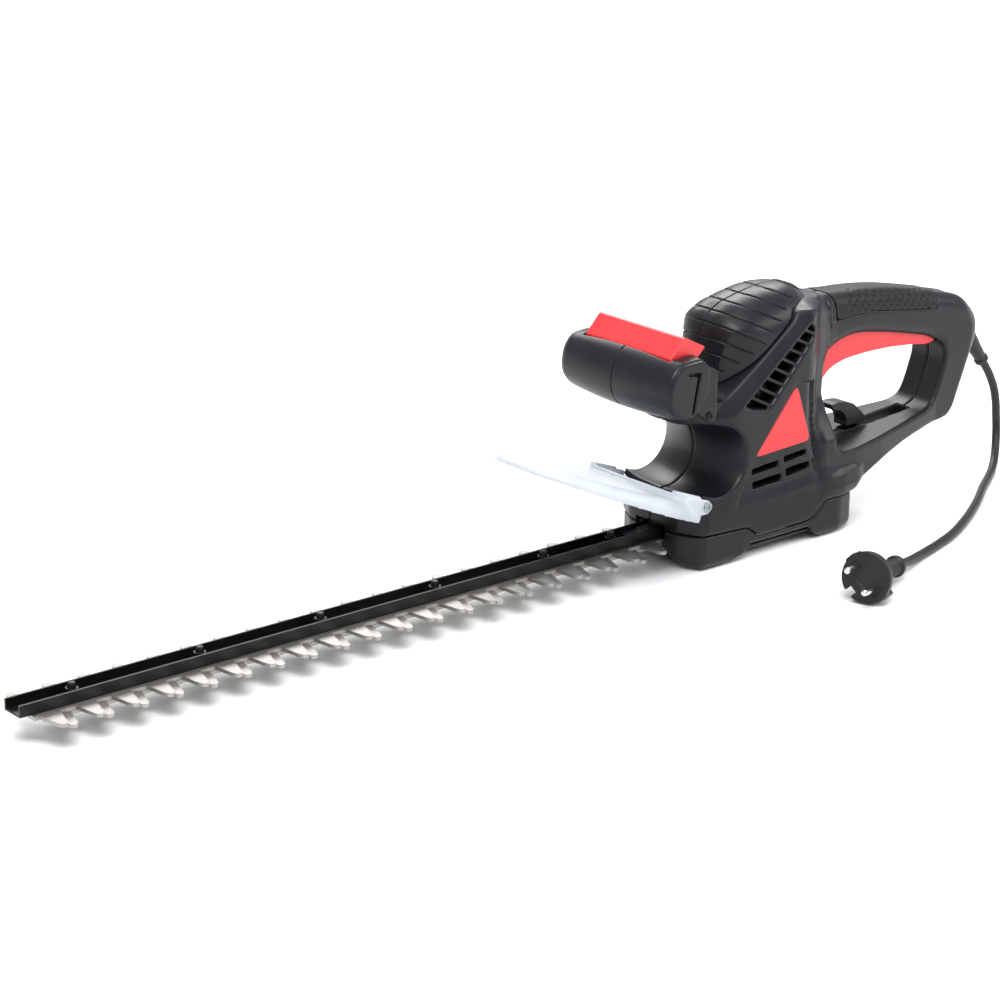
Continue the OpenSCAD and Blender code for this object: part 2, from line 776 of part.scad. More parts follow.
// The studs stand on spacers, so that their washers and heads show over the channel's walls.
stud_washer_z = channel_z + channel_h - 1.9;
module bar_studs() {
    color(steel) for (x = stud_xs) translate([x, 0, 0]) {
        translate([0, 0, under_z - base_plate_t]) cylinder(d = stud_d, h = bar_floor_z
            - under_z + base_plate_t + 1);
        translate([0, 0, bar_floor_z])
            cylinder(d = stud_d + 2, h = stud_washer_z - bar_floor_z + 0.5);
        translate([0, 0, stud_washer_z]) cylinder(d = stud_d + 6, h = 1);
        translate([0, 0, stud_washer_z + 1])
            cylinder(d1 = stud_d + 3, d2 = stud_d + 0.5, h = 3.5);
    }
}

module bar_nuts() {
    color(steel) for (x = stud_xs) translate([x, 0, under_z - base_plate_t]) difference() {
        cylinder(d = stud_d + 5.5, h = base_plate_t, $fn = 6);
        translate([0, 0, -1]) cylinder(d = stud_d + 2 * fit, h = base_plate_t + 2);
    }
}

module bar_screws() {
    color(steel) for (x = bar_screw_xs) translate([x, 0, 0]) {
        translate([0, 0, channel_z - 0.1]) cylinder(d = screw_d, h = channel_wall + 5);
        translate([0, 0, bar_floor_z + 2.5]) cylinder(d = screw_d + 3.5, h = 2.4);
    }
}

// One tooth, for the side at -Y, with its tip at x = 0. The rear flank is the longer one.
module tooth(reach) {
    polygon([[-6, -spine_half_w + 2], [-4, -reach + 4], [-3, -reach + 1.2], [-1.5, -reach],
        [0.6, -reach], [2.2, -reach + 1.6], [9, -spine_half_w + 2]]);
}

// A blade in plan: its spine, its teeth, the slots for the studs and the yoke at its rear end.
// The side is 1 for the blade that stands at the rear end of its stroke, -1 for the other.
yoke_half_x = ecc_r + yoke_play + room;
module blade(shift, reach, teeth, side) {
    yoke_x = gear_x + side * crank;
    difference() {
        union() {
            translate([spine_front_x + shift, -spine_half_w])
                square([yoke_x - yoke_half_x - 2 - spine_front_x - shift, 2 * spine_half_w]);
            for (i = [0:teeth - 1], s = [0, 1]) mirror([0, s])
                translate([first_tooth_x + shift + i * tooth_pitch, 0]) tooth(reach);
            translate([yoke_x - yoke_half_x - yoke_rim, -yoke_half_y - yoke_rim])
                square([2 * (yoke_half_x + yoke_rim), 2 * (yoke_half_y + yoke_rim)]);
        }
        for (x = stud_xs) {
            w = stud_d / 2 + 0.2;
            slot_x = side > 0 ? x - room : x - travel - room;
            translate([slot_x, 0]) circle(r = w);
            translate([slot_x + travel + 2 * room, 0]) circle(r = w);
            translate([slot_x, -w]) square([travel + 2 * room, 2 * w]);
        }
        translate([yoke_x - yoke_half_x, -yoke_half_y])
            square([2 * yoke_half_x, 2 * yoke_half_y]);
    }
}

module upper_blade() {
    color(steel) translate([0, 0, upper_z]) linear_extrude(blade_t)
        blade(0, tooth_reach, tooth_count, 1);
}

module lower_blade() {
    color(steel) translate([0, 0, lower_z]) linear_extrude(blade_t)
        blade(lower_shift, tooth_reach - 1, lower_tooth_count, -1);
}

// Gearbox: a cast plate above the gear and a steel plate below the blades.
plate_front = -77.5;
plate_spots = [[-72, plate_y], [-72, -plate_y], [4, plate_y], [4, -plate_y]];
plate_screw_r = 2.5;
bearing_r = 11;
bearing_h = 7;
module gear_plate() {
    color("silver") difference() {
        translate([plate_front, -plate_half_w, gear_plate_z])
            cube([24 - plate_front, 2 * plate_half_w, gear_plate_t]);
        translate([gear_x, 0, gear_plate_z - 1]) cylinder(d = axle_d + 2 * fit, h = 20);
        translate([motor_x, 0, bearing_z]) cylinder(r = bearing_r + fit, h = 20);
        translate([motor_x, 0, gear_plate_z - 1]) cylinder(r = bearing_r - 3, h = 20);
        for (p = plate_spots) translate([p[0], p[1], 0])
            cylinder(r = plate_screw_r + fit, h = 99);
    }
}

module gearbox_base() {
    color("silver") difference() {
        translate([plate_front, -plate_half_w, under_z - base_plate_t])
            cube([10 - plate_front, 2 * plate_half_w, base_plate_t]);
        translate([gear_x, 0, 0]) cylinder(d = axle_d + 2 * fit, h = 50);
        for (p = cover_screw_spots) translate([p[0], p[1], 0])
            cylinder(d = screw_d + 2 * fit, h = 50);
        for (p = plate_spots) translate([p[0], p[1], 0])
            cylinder(r = plate_screw_r + fit, h = 50);
    }
}

module gear_spacers() {
    color("silver") for (p = plate_spots) translate([p[0], p[1], 0]) {
        translate([0, 0, under_z]) cylinder(r = 3.2, h = gear_plate_z - under_z);
        translate([0, 0, under_z - base_plate_t - 2])
            cylinder(r = plate_screw_r, h = gear_plate_z + gear_plate_t - under_z
                + base_plate_t + 2);
        translate([0, 0, under_z - base_plate_t - 2]) cylinder(r = 3.6, h = 2);
        translate([0, 0, gear_plate_z + gear_plate_t]) cylinder(r = 3.6, h = 2.4);
    }
}

module gear_axle() {
    color(steel) translate([gear_x, 0, 0]) {
        translate([0, 0, under_z - base_plate_t])
            cylinder(d = axle_d, h = gear_plate_z + gear_plate_t - under_z + base_plate_t);
        translate([0, 0, under_z - base_plate_t - 2]) cylinder(d = axle_d + 5, h = 2);
    }
}

// Gear wheel with its two opposite eccentrics in one piece.
module drive_gear() {
    ecc_mid = lower_z + blade_t + blade_gap / 2;
    color("dimgray") difference() {
        union() {
            translate([gear_x, 0, gear_z]) linear_extrude(gear_t)
                polygon(gear_points(gear_teeth));
            translate([gear_x + crank, 0, ecc_mid])
                cylinder(r = ecc_r, h = gear_z - ecc_mid + 1, $fn = 96);
            translate([gear_x - crank, 0, lower_z])
                cylinder(r = ecc_r, h = ecc_mid - lower_z, $fn = 96);
        }
        translate([gear_x, 0, 0]) cylinder(d = axle_d + 2 * fit, h = 80);
        for (a = [0:60:300]) translate([gear_x + 22.5 * cos(a), 22.5 * sin(a), gear_z - 1])
            cylinder(r = 3, h = gear_t + 2);
    }
}

pinion_bore = 2.5;
module pinion() {
    color(steel) translate([motor_x, 0, gear_z - 0.5]) difference() {
        linear_extrude(gear_t + 1) rotate(180 / pinion_teeth)
            polygon(gear_points(pinion_teeth));
        translate([0, 0, -1]) cylinder(r = pinion_bore + fit, h = gear_t + 4);
    }
}

module motor_shaft() {
    color(steel) translate([motor_x, 0, 0]) {
        translate([0, 0, gear_z - 2]) cylinder(r = pinion_bore, h = gear_t + 5);
        translate([0, 0, gear_z + gear_t + 2]) cylinder(d = shaft_d, h = top_bearing_z
            - gear_z - gear_t - 2);
        translate([0, 0, top_bearing_z]) cylinder(r = 3, h = shaft_top - top_bearing_z);
    }
}

module rotor_stack() {
    color("gray") translate([motor_x, 0, stator_z + 0.5]) difference() {
        cylinder(d = rotor_d, h = stator_h - 1);
        translate([0, 0, -1]) cylinder(d = shaft_d + 2 * fit, h = stator_h + 2);
        for (a = [0:30:330]) rotate(a) translate([rotor_d / 2, 0, -1])
            cylinder(r = 1.6, h = stator_h + 2, $fn = 24);
    }
}

module rotor_windings() {
    color("#b5652d") translate([motor_x, 0, 0]) for (z = [stator_z - coil_h + 0.4,
        stator_z + stator_h - 0.4]) translate([0, 0, z]) difference() {
        cylinder(d = rotor_d - 3, h = coil_h);
        translate([0, 0, -1]) cylinder(d = shaft_d + 2 * fit, h = coil_h + 2);
    }
}

module commutator() {
    color("#b87333") translate([motor_x, 0, commutator_z]) difference() {
        cylinder(d = commutator_d, h = commutator_h);
        translate([0, 0, -1]) cylinder(d = shaft_d + 2 * fit, h = commutator_h + 2);
    }
}

module cooling_fan() {
    color(black) translate([motor_x, 0, fan_z]) difference() {
        union() {
            cylinder(d = fan_d, h = 1.6);
            cylinder(d = shaft_d + 8, h = 10);
            for (a = [0:30:330]) rotate(a) translate([shaft_d / 2 + 3, -0.8, 0])
                cube([fan_d / 2 - shaft_d / 2 - 4, 1.6, 9]);
        }
        translate([0, 0, -1]) cylinder(d = shaft_d + 2 * fit, h = 20);
    }
}

module stator_stack() {
    color("gray") translate([motor_x, 0, stator_z]) difference() {
        cylinder(d = stator_d, h = stator_h);
        translate([0, 0, -1]) cylinder(d = rotor_d + 1, h = stator_h + 2);
        for (a = coil_angles) rotate(a) translate([coil_r, 0, -1])
            cylinder(r = coil_leg_r + 0.4, h = stator_h + 2);
    }
}

// Two coils, each with two legs in the stack's slots and a bow at either end.
coil_r = (stator_d + rotor_d) / 4 + 0.3;
coil_leg_r = min(3.4, (stator_d - rotor_d) / 4 - 2.2);
coil_angles = [35, 145, 215, 325];
module field_coils() {
    color("#b5652d") translate([motor_x, 0, 0]) {
        for (a = coil_angles) rotate(a) translate([coil_r, 0, stator_z - coil_h + 2])
            cylinder(r = coil_leg_r, h = stator_h + 2 * coil_h - 4);
        for (a = [35, 215], z = [stator_z - coil_h + 2, stator_z + stator_h + 1]) rotate(a)
            translate([0, 0, z]) rotate_extrude(angle = 110)
                translate([coil_r - coil_leg_r, 0]) square([2 * coil_leg_r, coil_h - 3]);
    }
}

module bearing(outer, inner, h) {
    difference() {
        cylinder(r = outer, h = h);
        translate([0, 0, -1]) cylinder(r = inner, h = h + 2);
    }
}

module lower_bearing() {
    color(steel) translate([motor_x, 0, bearing_z])
        bearing(bearing_r, shaft_d / 2 + fit, bearing_h);
}

module upper_bearing() {
    color(steel) translate([motor_x, 0, top_bearing_z]) bearing(9, 3 + fit, 6);
}

brush_r = commutator_d / 2 + 0.3;
module brush_bracket() {
    color(soft_black) translate([motor_x, 0, 0]) difference() {
        union() {
            translate([0, 0, stator_z + stator_h + coil_h + 0.6])
                cylinder(d = stator_d - 4, h = 3);
            for (s = [-1, 1]) translate([-6, s * (brush_r + 8) - 8, stator_z + stator_h
                + coil_h + 3]) cube([12, 16, 13]);
            for (s = [-1, 1]) translate([s * 17 - 3, -5, stator_z + stator_h + coil_h + 3])
                cube([6, 10, top_bearing_z + 4 - stator_z - stator_h - coil_h - 3]);
            translate([0, 0, top_bearing_z - 2]) cylinder(d = 44, h = 6);
        }
        translate([0, 0, top_bearing_z]) cylinder(r = 9 + fit, h = 20);
        translate([0, 0, 0]) cylinder(d = commutator_d + 3, h = top_bearing_z - 3);
        translate([0, 0, 0]) cylinder(d = shaft_d + 2, h = 300);
        for (s = [-1, 1]) translate([-3 - slip, s * (brush_r + 9) - 8.2, commutator_z + 2
            - slip]) cube([6 + 2 * slip, 16.4, 8 + 2 * slip]);
    }
}

module carbon_brushes() {
    color("#333333") translate([motor_x, 0, 0]) for (s = [-1, 1])
        translate([-3, s > 0 ? brush_r : -brush_r - 9, commutator_z + 2]) cube([6, 9, 8]);
}

module brush_springs() {
    color(steel) translate([motor_x, 0, commutator_z + 6]) for (s = [-1, 1])
        translate([0, s * (brush_r + 9.7), 0]) rotate([-s * 90, 0, 0]) helix(2, 0.6, 5, 4);
}

module capacitor() {
    color("#c8a33a") translate([26, -9, 74]) cube([18, 18, 24]);
}

module terminal_block() {
    color("#e8e4d8") difference() {
        translate([193, -9, 78]) cube([16, 18, 14]);
        for (y = [-5, 5]) translate([192, y, 85]) rotate([0, 90, 0])
            cylinder(r = 2, h = 20);
    }
}

module cable_clamp() {
    color(soft_black) relief_axis() difference() {
        translate([-5, -12, -20]) cube([12, 24, 7]);
        translate([0, 0, -30]) cylinder(d = cord_d + 2 * fit, h = 30);
    }
}

module inner_lead() {
    color(soft_black) relief_axis() translate([0, 0, -26]) cylinder(d = cord_d, h = 14);
}

module strain_relief() {
    color(soft_black) relief_axis() {
        translate([0, 0, -12]) cylinder(r = 5.6, h = 18);
        translate([0, 0, -12]) cylinder(r = 7.2, h = 4);
        translate([0, 0, 6]) cylinder(r1 = 5.6, r2 = 4.4, h = relief_len - 10);
        translate([0, 0, relief_len - 4]) cylinder(r = 5.6, h = 4);
    }
}

module mains_cord() {
    color(soft_black) tube(route, cord_d / 2, 12);
}

module plug_frame() {
    translate(plug_face) rotate([0, plug_tilt, plug_heading]) rotate([0, 0, plug_roll])
        children();
}

pin_gap = 19;
plug_pin_root_d = plug_pin_d - 1;
module plug_body() {
    color(soft_black) plug_frame() difference() {
        union() {
            translate([0, 0, -6]) cylinder(d = plug_d, h = 6);
            translate([0, 0, -28]) cylinder(r1 = 8, r2 = 14, h = 22.5);
            for (s = [-1, 1]) translate([s * (plug_d / 2 - 1) - 2, -4, -14])
                cube([4, 8, 14]);
        }
        // Earthing notch, and the holes that hold the pins.
        translate([-3, -plug_d / 2 - 1, -20]) cube([6, 8, 30]);
        for (s = [-1, 1]) translate([s * pin_gap / 2, 0, -12])
            cylinder(d = plug_pin_root_d + 2 * fit, h = 14);
    }
}

module plug_pins() {
    color(steel) plug_frame() for (s = [-1, 1]) translate([s * pin_gap / 2, 0, 0]) {
        translate([0, 0, -11]) cylinder(d = plug_pin_root_d, h = 11.5);
        translate([0, 0, 0.1]) cylinder(d = plug_pin_d, h = plug_pin_len);
    }
}

module plug_boot() {
    color(soft_black) plug_frame() {
        translate([0, 0, -plug_len]) cylinder(r = 7.8, h = 4);
        translate([0, 0, -plug_len + 4]) cylinder(r = 5.4, h = plug_len - 32);
        for (i = [0:4]) translate([0, 0, -plug_len + 6 + i * 4.4]) cylinder(r = 6.4, h = 2.4);
    }
}

left_housing_half();
right_housing_half();
lower_cover();
left_motor_cover();
right_motor_cover();
left_front_handle();
right_front_handle();
soft_grip();
left_badge();
right_badge();
cord_hook();
hand_guard();
guard_screws();
housing_screws();
cover_screws();
front_lever();
lever_pin();
lever_spring();
rear_trigger();
trigger_pin();
trigger_spring();
front_switch();
rear_switch();
guide_bar();
bar_bracket();
bar_studs();
bar_nuts();
bar_screws();
upper_blade();
lower_blade();
gear_plate();
gearbox_base();
gear_spacers();
gear_axle();
drive_gear();
pinion();
motor_shaft();
rotor_stack();
rotor_windings();
commutator();
cooling_fan();
stator_stack();
field_coils();
lower_bearing();
upper_bearing();
brush_bracket();
carbon_brushes();
brush_springs();
capacitor();
terminal_block();
cable_clamp();
inner_lead();
strain_relief();
mains_cord();
plug_body();
plug_boot();
plug_pins();
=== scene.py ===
# %% [markdown]
# # Hedge trimmer with a double-edged cutter bar
# An electric hedge trimmer is a motor in a plastic shell, two handles, and a long bar that
# carries two toothed blades which slide against each other. The imported model gives every
# part its place; this lesson gives each one the skin and the finish of the real thing.

import json
import math

import bmesh
import bpy
import numpy as np
from mathutils import Matrix, Vector

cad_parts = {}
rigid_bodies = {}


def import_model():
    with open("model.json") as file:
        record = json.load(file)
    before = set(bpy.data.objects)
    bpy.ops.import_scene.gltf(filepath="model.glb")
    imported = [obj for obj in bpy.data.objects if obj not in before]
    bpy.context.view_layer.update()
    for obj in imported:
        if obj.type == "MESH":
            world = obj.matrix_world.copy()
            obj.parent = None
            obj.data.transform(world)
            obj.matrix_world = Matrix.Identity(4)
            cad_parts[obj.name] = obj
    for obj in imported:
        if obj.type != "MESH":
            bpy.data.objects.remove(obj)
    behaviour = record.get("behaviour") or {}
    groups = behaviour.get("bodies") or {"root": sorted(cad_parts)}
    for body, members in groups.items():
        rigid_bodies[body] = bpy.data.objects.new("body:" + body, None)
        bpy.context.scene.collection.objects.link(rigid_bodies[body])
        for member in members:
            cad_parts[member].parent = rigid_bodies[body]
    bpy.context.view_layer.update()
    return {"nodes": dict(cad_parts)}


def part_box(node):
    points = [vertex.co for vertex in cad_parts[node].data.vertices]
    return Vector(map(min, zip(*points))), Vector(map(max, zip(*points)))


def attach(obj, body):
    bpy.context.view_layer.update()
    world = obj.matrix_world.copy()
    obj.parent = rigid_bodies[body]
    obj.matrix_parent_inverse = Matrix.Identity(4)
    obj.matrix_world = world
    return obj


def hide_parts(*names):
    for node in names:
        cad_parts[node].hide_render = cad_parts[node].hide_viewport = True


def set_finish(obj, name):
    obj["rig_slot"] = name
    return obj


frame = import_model()
MM = 0.001
COARSE = 1.0

# %% [markdown]
# ## Camera
# A long lens from over two metres away flattens the trimmer as a catalogue picture does.
# The camera is given by its place and its three axes, because that holds the slight roll.

# %% Camera
camera_data = bpy.data.cameras.new("camera")
camera_data.lens = 117.297
camera_data.sensor_width = 36.0
camera_data.clip_end = 30.0
camera = bpy.data.objects.new("camera", camera_data)
bpy.context.collection.objects.link(camera)
right = (0.7615232, -0.6480453, 0.0109416)
up = (0.2002124, 0.2512600, 0.9469865)
back = (-0.6164394, -0.7189615, 0.3210870)
place = (-1.5832, -1.5771, 0.7798)
camera.matrix_world = Matrix(
    [[right[i], up[i], back[i], place[i]] for i in range(3)] + [[0, 0, 0, 1]]
)
bpy.context.scene.camera = camera
print("camera at", place)

# %% [markdown]
# ## Small helpers for meshes
# Every piece ends as one mesh in metres with a finish and a body to ride on, and where it
# stands for a part of the frame, that part is hidden. One helper does this for all.
# A bevel modifier rounds the edges, because no moulded or stamped edge is truly sharp.


# %% Making a piece
def piece(name, mesh, body, slot, stands_for=(), bevel=0.0):
    thing = bpy.data.objects.new(name, mesh)
    bpy.context.collection.objects.link(thing)
    if bevel:
        soften(thing, bevel)
    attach(thing, body)
    if stands_for:
        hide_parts(*stands_for)
    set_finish(thing, slot)
    return thing


def soften(thing, width, segments=2, angle=30):
    bevel = thing.modifiers.new("soft edges", "BEVEL")
    bevel.width = width * MM
    bevel.segments = segments
    bevel.limit_method = "ANGLE"
    bevel.angle_limit = math.radians(angle)
    bevel.harden_normals = True
    bevel.use_clamp_overlap = True


def mesh_of(name, points, faces, smooth=True, sharp=None):
    mesh = bpy.data.meshes.new(name)
    mesh.from_pydata([tuple(p) for p in np.asarray(points, float) * MM], [], faces)
    mesh.validate()
    for face in mesh.polygons:
        face.use_smooth = smooth
    if sharp is not None:
        mesh.set_sharp_from_angle(angle=math.radians(sharp))
    return mesh


# %% [markdown]
# ## Two ways to make a solid
# A plate is an outline pushed along Y. A turned piece is a profile spun round an axis.
# Both are a few lines of mesh code, and they suit levers, hooks, pins and sleeves.


# %% Plates and turned pieces
def rounded(points, radius, steps=5):
    """The same outline with each corner replaced by a short curve."""
    points = [np.asarray(p, float) for p in points]
    points = [p for i, p in enumerate(points) if np.linalg.norm(p - points[i - 1]) > 0.05]
    made = []
    for i, corner in enumerate(points):
        before, after = points[i - 1] - corner, points[(i + 1) % len(points)] - corner
        a, b = np.linalg.norm(before), np.linalg.norm(after)
        reach = min(radius, 0.48 * a, 0.48 * b)
        start, end = corner + before / a * reach, corner + after / b * reach
        for t in np.linspace(0, 1, steps + 1):
            made.append((1 - t) ** 2 * start + 2 * t * (1 - t) * corner + t * t * end)
    return made


def plate(name, outline, y0, y1, sharp=35):
    n = len(outline)
    points = [(p[0], y, p[1]) for y in (y0, y1) for p in outline]
    faces = [[i, (i + 1) % n, n + (i + 1) % n, n + i] for i in range(n)]
    faces += [list(range(n))[::-1], list(range(n, 2 * n))]
    mesh = mesh_of(name, points, faces, sharp=sharp)
    tidy_normals(mesh)
    return mesh


def tidy_normals(mesh):
    work = bmesh.new()
    work.from_mesh(mesh)
    bmesh.ops.recalc_face_normals(work, faces=work.faces)
    work.to_mesh(mesh)
    work.free()


def turned(name, profile, place=Matrix.Identity(4), steps=64, sharp=35):
    """Spins a profile of (radius, height) pairs round Z, then puts it in its place."""
    points, faces, rings = [], [], []
    for radius, height in profile:
        if radius < 1e-6:
            rings.append([len(points)])
            points.append((0, 0, height))
            continue
        rings.append(list(range(len(points), len(points) + steps)))
        for k in range(steps):
            turn = 2 * math.pi * k / steps
            points.append((radius * math.cos(turn), radius * math.sin(turn), height))
    for low, high in zip(rings, rings[1:]):
        for k in range(steps):
            a, b = low[k % len(low)], low[(k + 1) % len(low)]
            c, d = high[(k + 1) % len(high)], high[k % len(high)]
            corners = list(dict.fromkeys([a, b, c, d]))
            if len(corners) > 2:
                faces.append(corners)
    placed = [place @ Vector(p) for p in points]
    mesh = mesh_of(name, placed, faces, sharp=sharp)
    tidy_normals(mesh)
    return mesh


# %% [markdown]
# ## A modeller's clay: distance fields
# The shells flow into each other: a round handle grows out of a boxy body with soft
# fillets. Polygon by polygon that is slow work. Here each shape is a field, a number in
# every point of a grid that is negative inside. Shapes are joined or cut with a radius,
# and the zero surface is skinned with quads in the end, one point in every mixed cell.


# %% Fields and the ways to join them
def grid(low, high, step):
    axes = [np.arange(a, b + step, step, dtype=np.float32) for a, b in zip(low, high)]
    return axes[0][:, None, None], axes[1][None, :, None], axes[2][None, None, :]


def outline_field(points, u, v):
    """Distance from a closed outline, negative inside."""
    nearest, inside = None, False
    count = len(points)
    for i in range(count):
        (u0, v0), (u1, v1) = points[i], points[(i + 1) % count]
        du, dv = u1 - u0, v1 - v0
        if du * du + dv * dv < 1e-9:
            continue
        t = np.clip(((u - u0) * du + (v - v0) * dv) / (du * du + dv * dv), 0, 1)
        gap = (u - u0 - t * du) ** 2 + (v - v0 - t * dv) ** 2
        nearest = gap if nearest is None else np.minimum(nearest, gap)
        crossing = (v0 > v) != (v1 > v)
        ahead = u < u0 + du * (v - v0) / (dv if abs(dv) > 1e-9 else 1e-9)
        inside = inside ^ (crossing & ahead)
    return (np.sqrt(nearest) * np.where(inside, -1, 1)).astype(np.float32)


def carve(a, b, radius=0.0):
    """What lies in both shapes, with its outer edge rounded."""
    if np.ndim(radius) == 0 and not radius:
        return np.maximum(a, b)
    u, v = np.maximum(a + radius, 0), np.maximum(b + radius, 0)
    return np.minimum(np.maximum(a, b), -radius) + np.sqrt(u * u + v * v)


def join(a, b, radius=0.0):
    """Both shapes together, with a fillet where they meet."""
    return -carve(-a, -b, radius)


def cut(a, b, radius=0.0):
    """The first shape without the second, with its new edge rounded."""
    return carve(a, -b, radius)


def block(x, y, z, low, high):
    """Distance from a box, good enough near its faces."""
    return np.maximum(
        np.maximum(np.maximum(low[0] - x, x - high[0]), np.maximum(low[1] - y, y - high[1])),
        np.maximum(low[2] - z, z - high[2]),
    )


# %% [markdown]
# The skinning step is known as surface nets. A cell whose corners differ in sign gets one
# point at the mean of its edge crossings; two small steps down the gradient then put that
# point on the true surface, so flat walls come out flat and fillets come out smooth.


# %% Points of the net
def around(field, points):
    """Value and gradient of a field at points given in grid units."""
    base = np.clip(np.floor(points).astype(int), 0, np.array(field.shape) - 2)
    part = points - base
    value, slope = 0.0, np.zeros_like(points)
    for corner in np.ndindex(2, 2, 2):
        sample = field[tuple((base + corner).T)]
        weights = [part[:, k] if corner[k] else 1 - part[:, k] for k in range(3)]
        value = value + sample * weights[0] * weights[1] * weights[2]
        for k in range(3):
            others = weights[(k + 1) % 3] * weights[(k + 2) % 3]
            slope[:, k] += sample * others * (1 if corner[k] else -1)
    return value, slope


def mixed_cells(inside):
    """The cells that the surface passes through."""
    shape = np.array(inside.shape) - 1
    filled = np.zeros(shape, np.uint8)
    for c in np.ndindex(2, 2, 2):
        filled += inside[c[0] : shape[0] + c[0], c[1] : shape[1] + c[1], c[2] : shape[2] + c[2]]
    return np.argwhere((filled > 0) & (filled < 8))


def net_points(field, cells):
    """One point in each mixed cell, moved on to the surface."""
    total, count = np.zeros((len(cells), 3)), np.zeros(len(cells))
    for a in np.ndindex(2, 2, 2):
        for k in range(3):
            if a[k]:
                continue
            b = tuple(1 if i == k else a[i] for i in range(3))
            fa, fb = field[tuple((cells + a).T)], field[tuple((cells + b).T)]
            crosses = (fa < 0) != (fb < 0)
            t = np.where(crosses, fa / np.where(crosses, fa - fb, 1), 0)
            at = np.tile(np.array(a, float), (len(cells), 1))
            at[:, k] += t
            total[crosses] += at[crosses]
            count += crosses
    points = cells + total / count[:, None]
    for _ in range(2):
        value, slope = around(field, points)
        step_back = -slope * (value / ((slope * slope).sum(1) + 1e-6))[:, None]
        points = np.clip(points + np.clip(step_back, -0.4, 0.4), cells - 0.3, cells + 1.3)
    return points


# %% [markdown]
# Wherever a grid edge crosses the surface, the four cells round that edge share a quad. Its
# direction comes from which end of the edge is inside, so every face looks outwards. The
# mesh is filled from arrays, because lists are slow for a hundred thousand quads.


# %% Quads of the net
def net_faces(inside, cells):
    index = np.full(np.array(inside.shape) - 1, -1, np.int64)
    index[tuple(cells.T)] = np.arange(len(cells))
    faces = []
    for k in range(3):
        i, j = (k + 1) % 3, (k + 2) % 3
        ahead = [slice(None)] * 3
        behind = [slice(None)] * 3
        ahead[k], behind[k] = slice(1, None), slice(None, -1)
        change = inside[tuple(ahead)] != inside[tuple(behind)]
        trim = [slice(None)] * 3
        trim[i], trim[j] = slice(1, -1), slice(1, -1)
        spots = np.argwhere(change[tuple(trim)])
        spots[:, i] += 1
        spots[:, j] += 1
        ring = []
        for di, dj in ((1, 1), (0, 1), (0, 0), (1, 0)):
            cell = spots.copy()
            cell[:, i] -= di
            cell[:, j] -= dj
            ring.append(index[tuple(cell.T)])
        quads = np.stack(ring, 1)
        flip = ~inside[tuple(spots.T)]
        quads[flip] = quads[flip][:, ::-1]
        faces.append(quads)
    faces = np.concatenate(faces)
    return faces[(faces >= 0).all(1)]


def skin(field, low, step):
    """Points in millimetres and quads of the zero surface of a field."""
    field = field.astype(np.float32)
    inside = field < 0
    cells = mixed_cells(inside)
    return net_points(field, cells) * step + np.array(low), net_faces(inside, cells)


def quads_mesh(name, points, faces):
    """A mesh from arrays, which is much faster than from lists for dense skins."""
    mesh = bpy.data.meshes.new(name)
    mesh.vertices.add(len(points))
    mesh.vertices.foreach_set("co", (points * MM).astype(np.float32).ravel())
    mesh.loops.add(4 * len(faces))
    mesh.loops.foreach_set("vertex_index", faces.astype(np.int32).ravel())
    mesh.polygons.add(len(faces))
    mesh.polygons.foreach_set("loop_start", np.arange(0, 4 * len(faces), 4, dtype=np.int32))
    mesh.polygons.foreach_set("use_smooth", np.ones(len(faces), bool))
    mesh.update(calc_edges=True)
    mesh.validate()
    return mesh


def mirrored(points, faces):
    """The same skin on the other side of the seam."""
    return points * np.array([1, -1, 1]), faces[:, ::-1]


# %% [markdown]
# ## The cord
# The lead is 6.4 mm thick and ends in a moulded plug. It leaves the rear handle through a
# tapered sleeve, falls to the floor, and runs forward beside the tool. A Bezier curve with
# automatic handles goes through every point of the route, so it stays where the frame has it.

# %% Cord route
CORD_D = 6.4
relief_dir = np.array([0.6247, 0, -0.7809])
relief_exit = np.array([230.76, 0, 112.55])
route = [(252, 0, 86), (258, 0, 78.5), (263.5, 0, 70), (268, 0, 60.5), (271.5, 0.5, 50)]
route += [(273.5, 1, 39.5), (273.5, 0, 29), (270, -3.5, 18.5), (262, -10, 9.5)]
route += [(250, -18.5, 4.6), (236, -27.5, 3.3), (211, -43.5, 3.3), (187, -60, 3.3)]
route += [(163, -75, 3.3), (138, -89, 3.3), (113, -101, 3.3), (92, -108.5, 3.3)]
route += [(74, -114, 3.4), (57.5, -119.3, 4.1), (44, -124.6, 5.7), (31, -129.6, 7.7)]
route += [(18, -134.6, 9.9)]
cord_points = [tuple(relief_exit)] + route


def bezier(name, points, radius, resolution=12):
    data = bpy.data.curves.new(name, "CURVE")
    data.dimensions = "3D"
    data.bevel_depth = 1.0
    data.bevel_resolution = 6
    data.resolution_u = resolution
    data.use_fill_caps = True
    line = data.splines.new("BEZIER")
    line.bezier_points.add(len(points) - 1)
    for knot, p in zip(line.bezier_points, points):
        knot.co = Vector(p) * MM
        knot.radius = radius * MM
        knot.handle_left_type = knot.handle_right_type = "AUTO"
    return data


cord = piece("cord", bezier("cord", cord_points, CORD_D / 2), "machine", "cord_pvc", ["mains_cord"])
gaps = np.diff(np.array(cord_points, float), axis=0)
print("straight pieces of the cord, mm", round(float(np.sqrt((gaps**2).sum(1)).sum()), 1))

# %% [markdown]
# ## Sleeve on the rear handle
# A strain relief is a soft cone, so that the lead bends gently. It is turned from one
# profile: a flange inside the shell, a smooth tapering waist and a collar at the end.

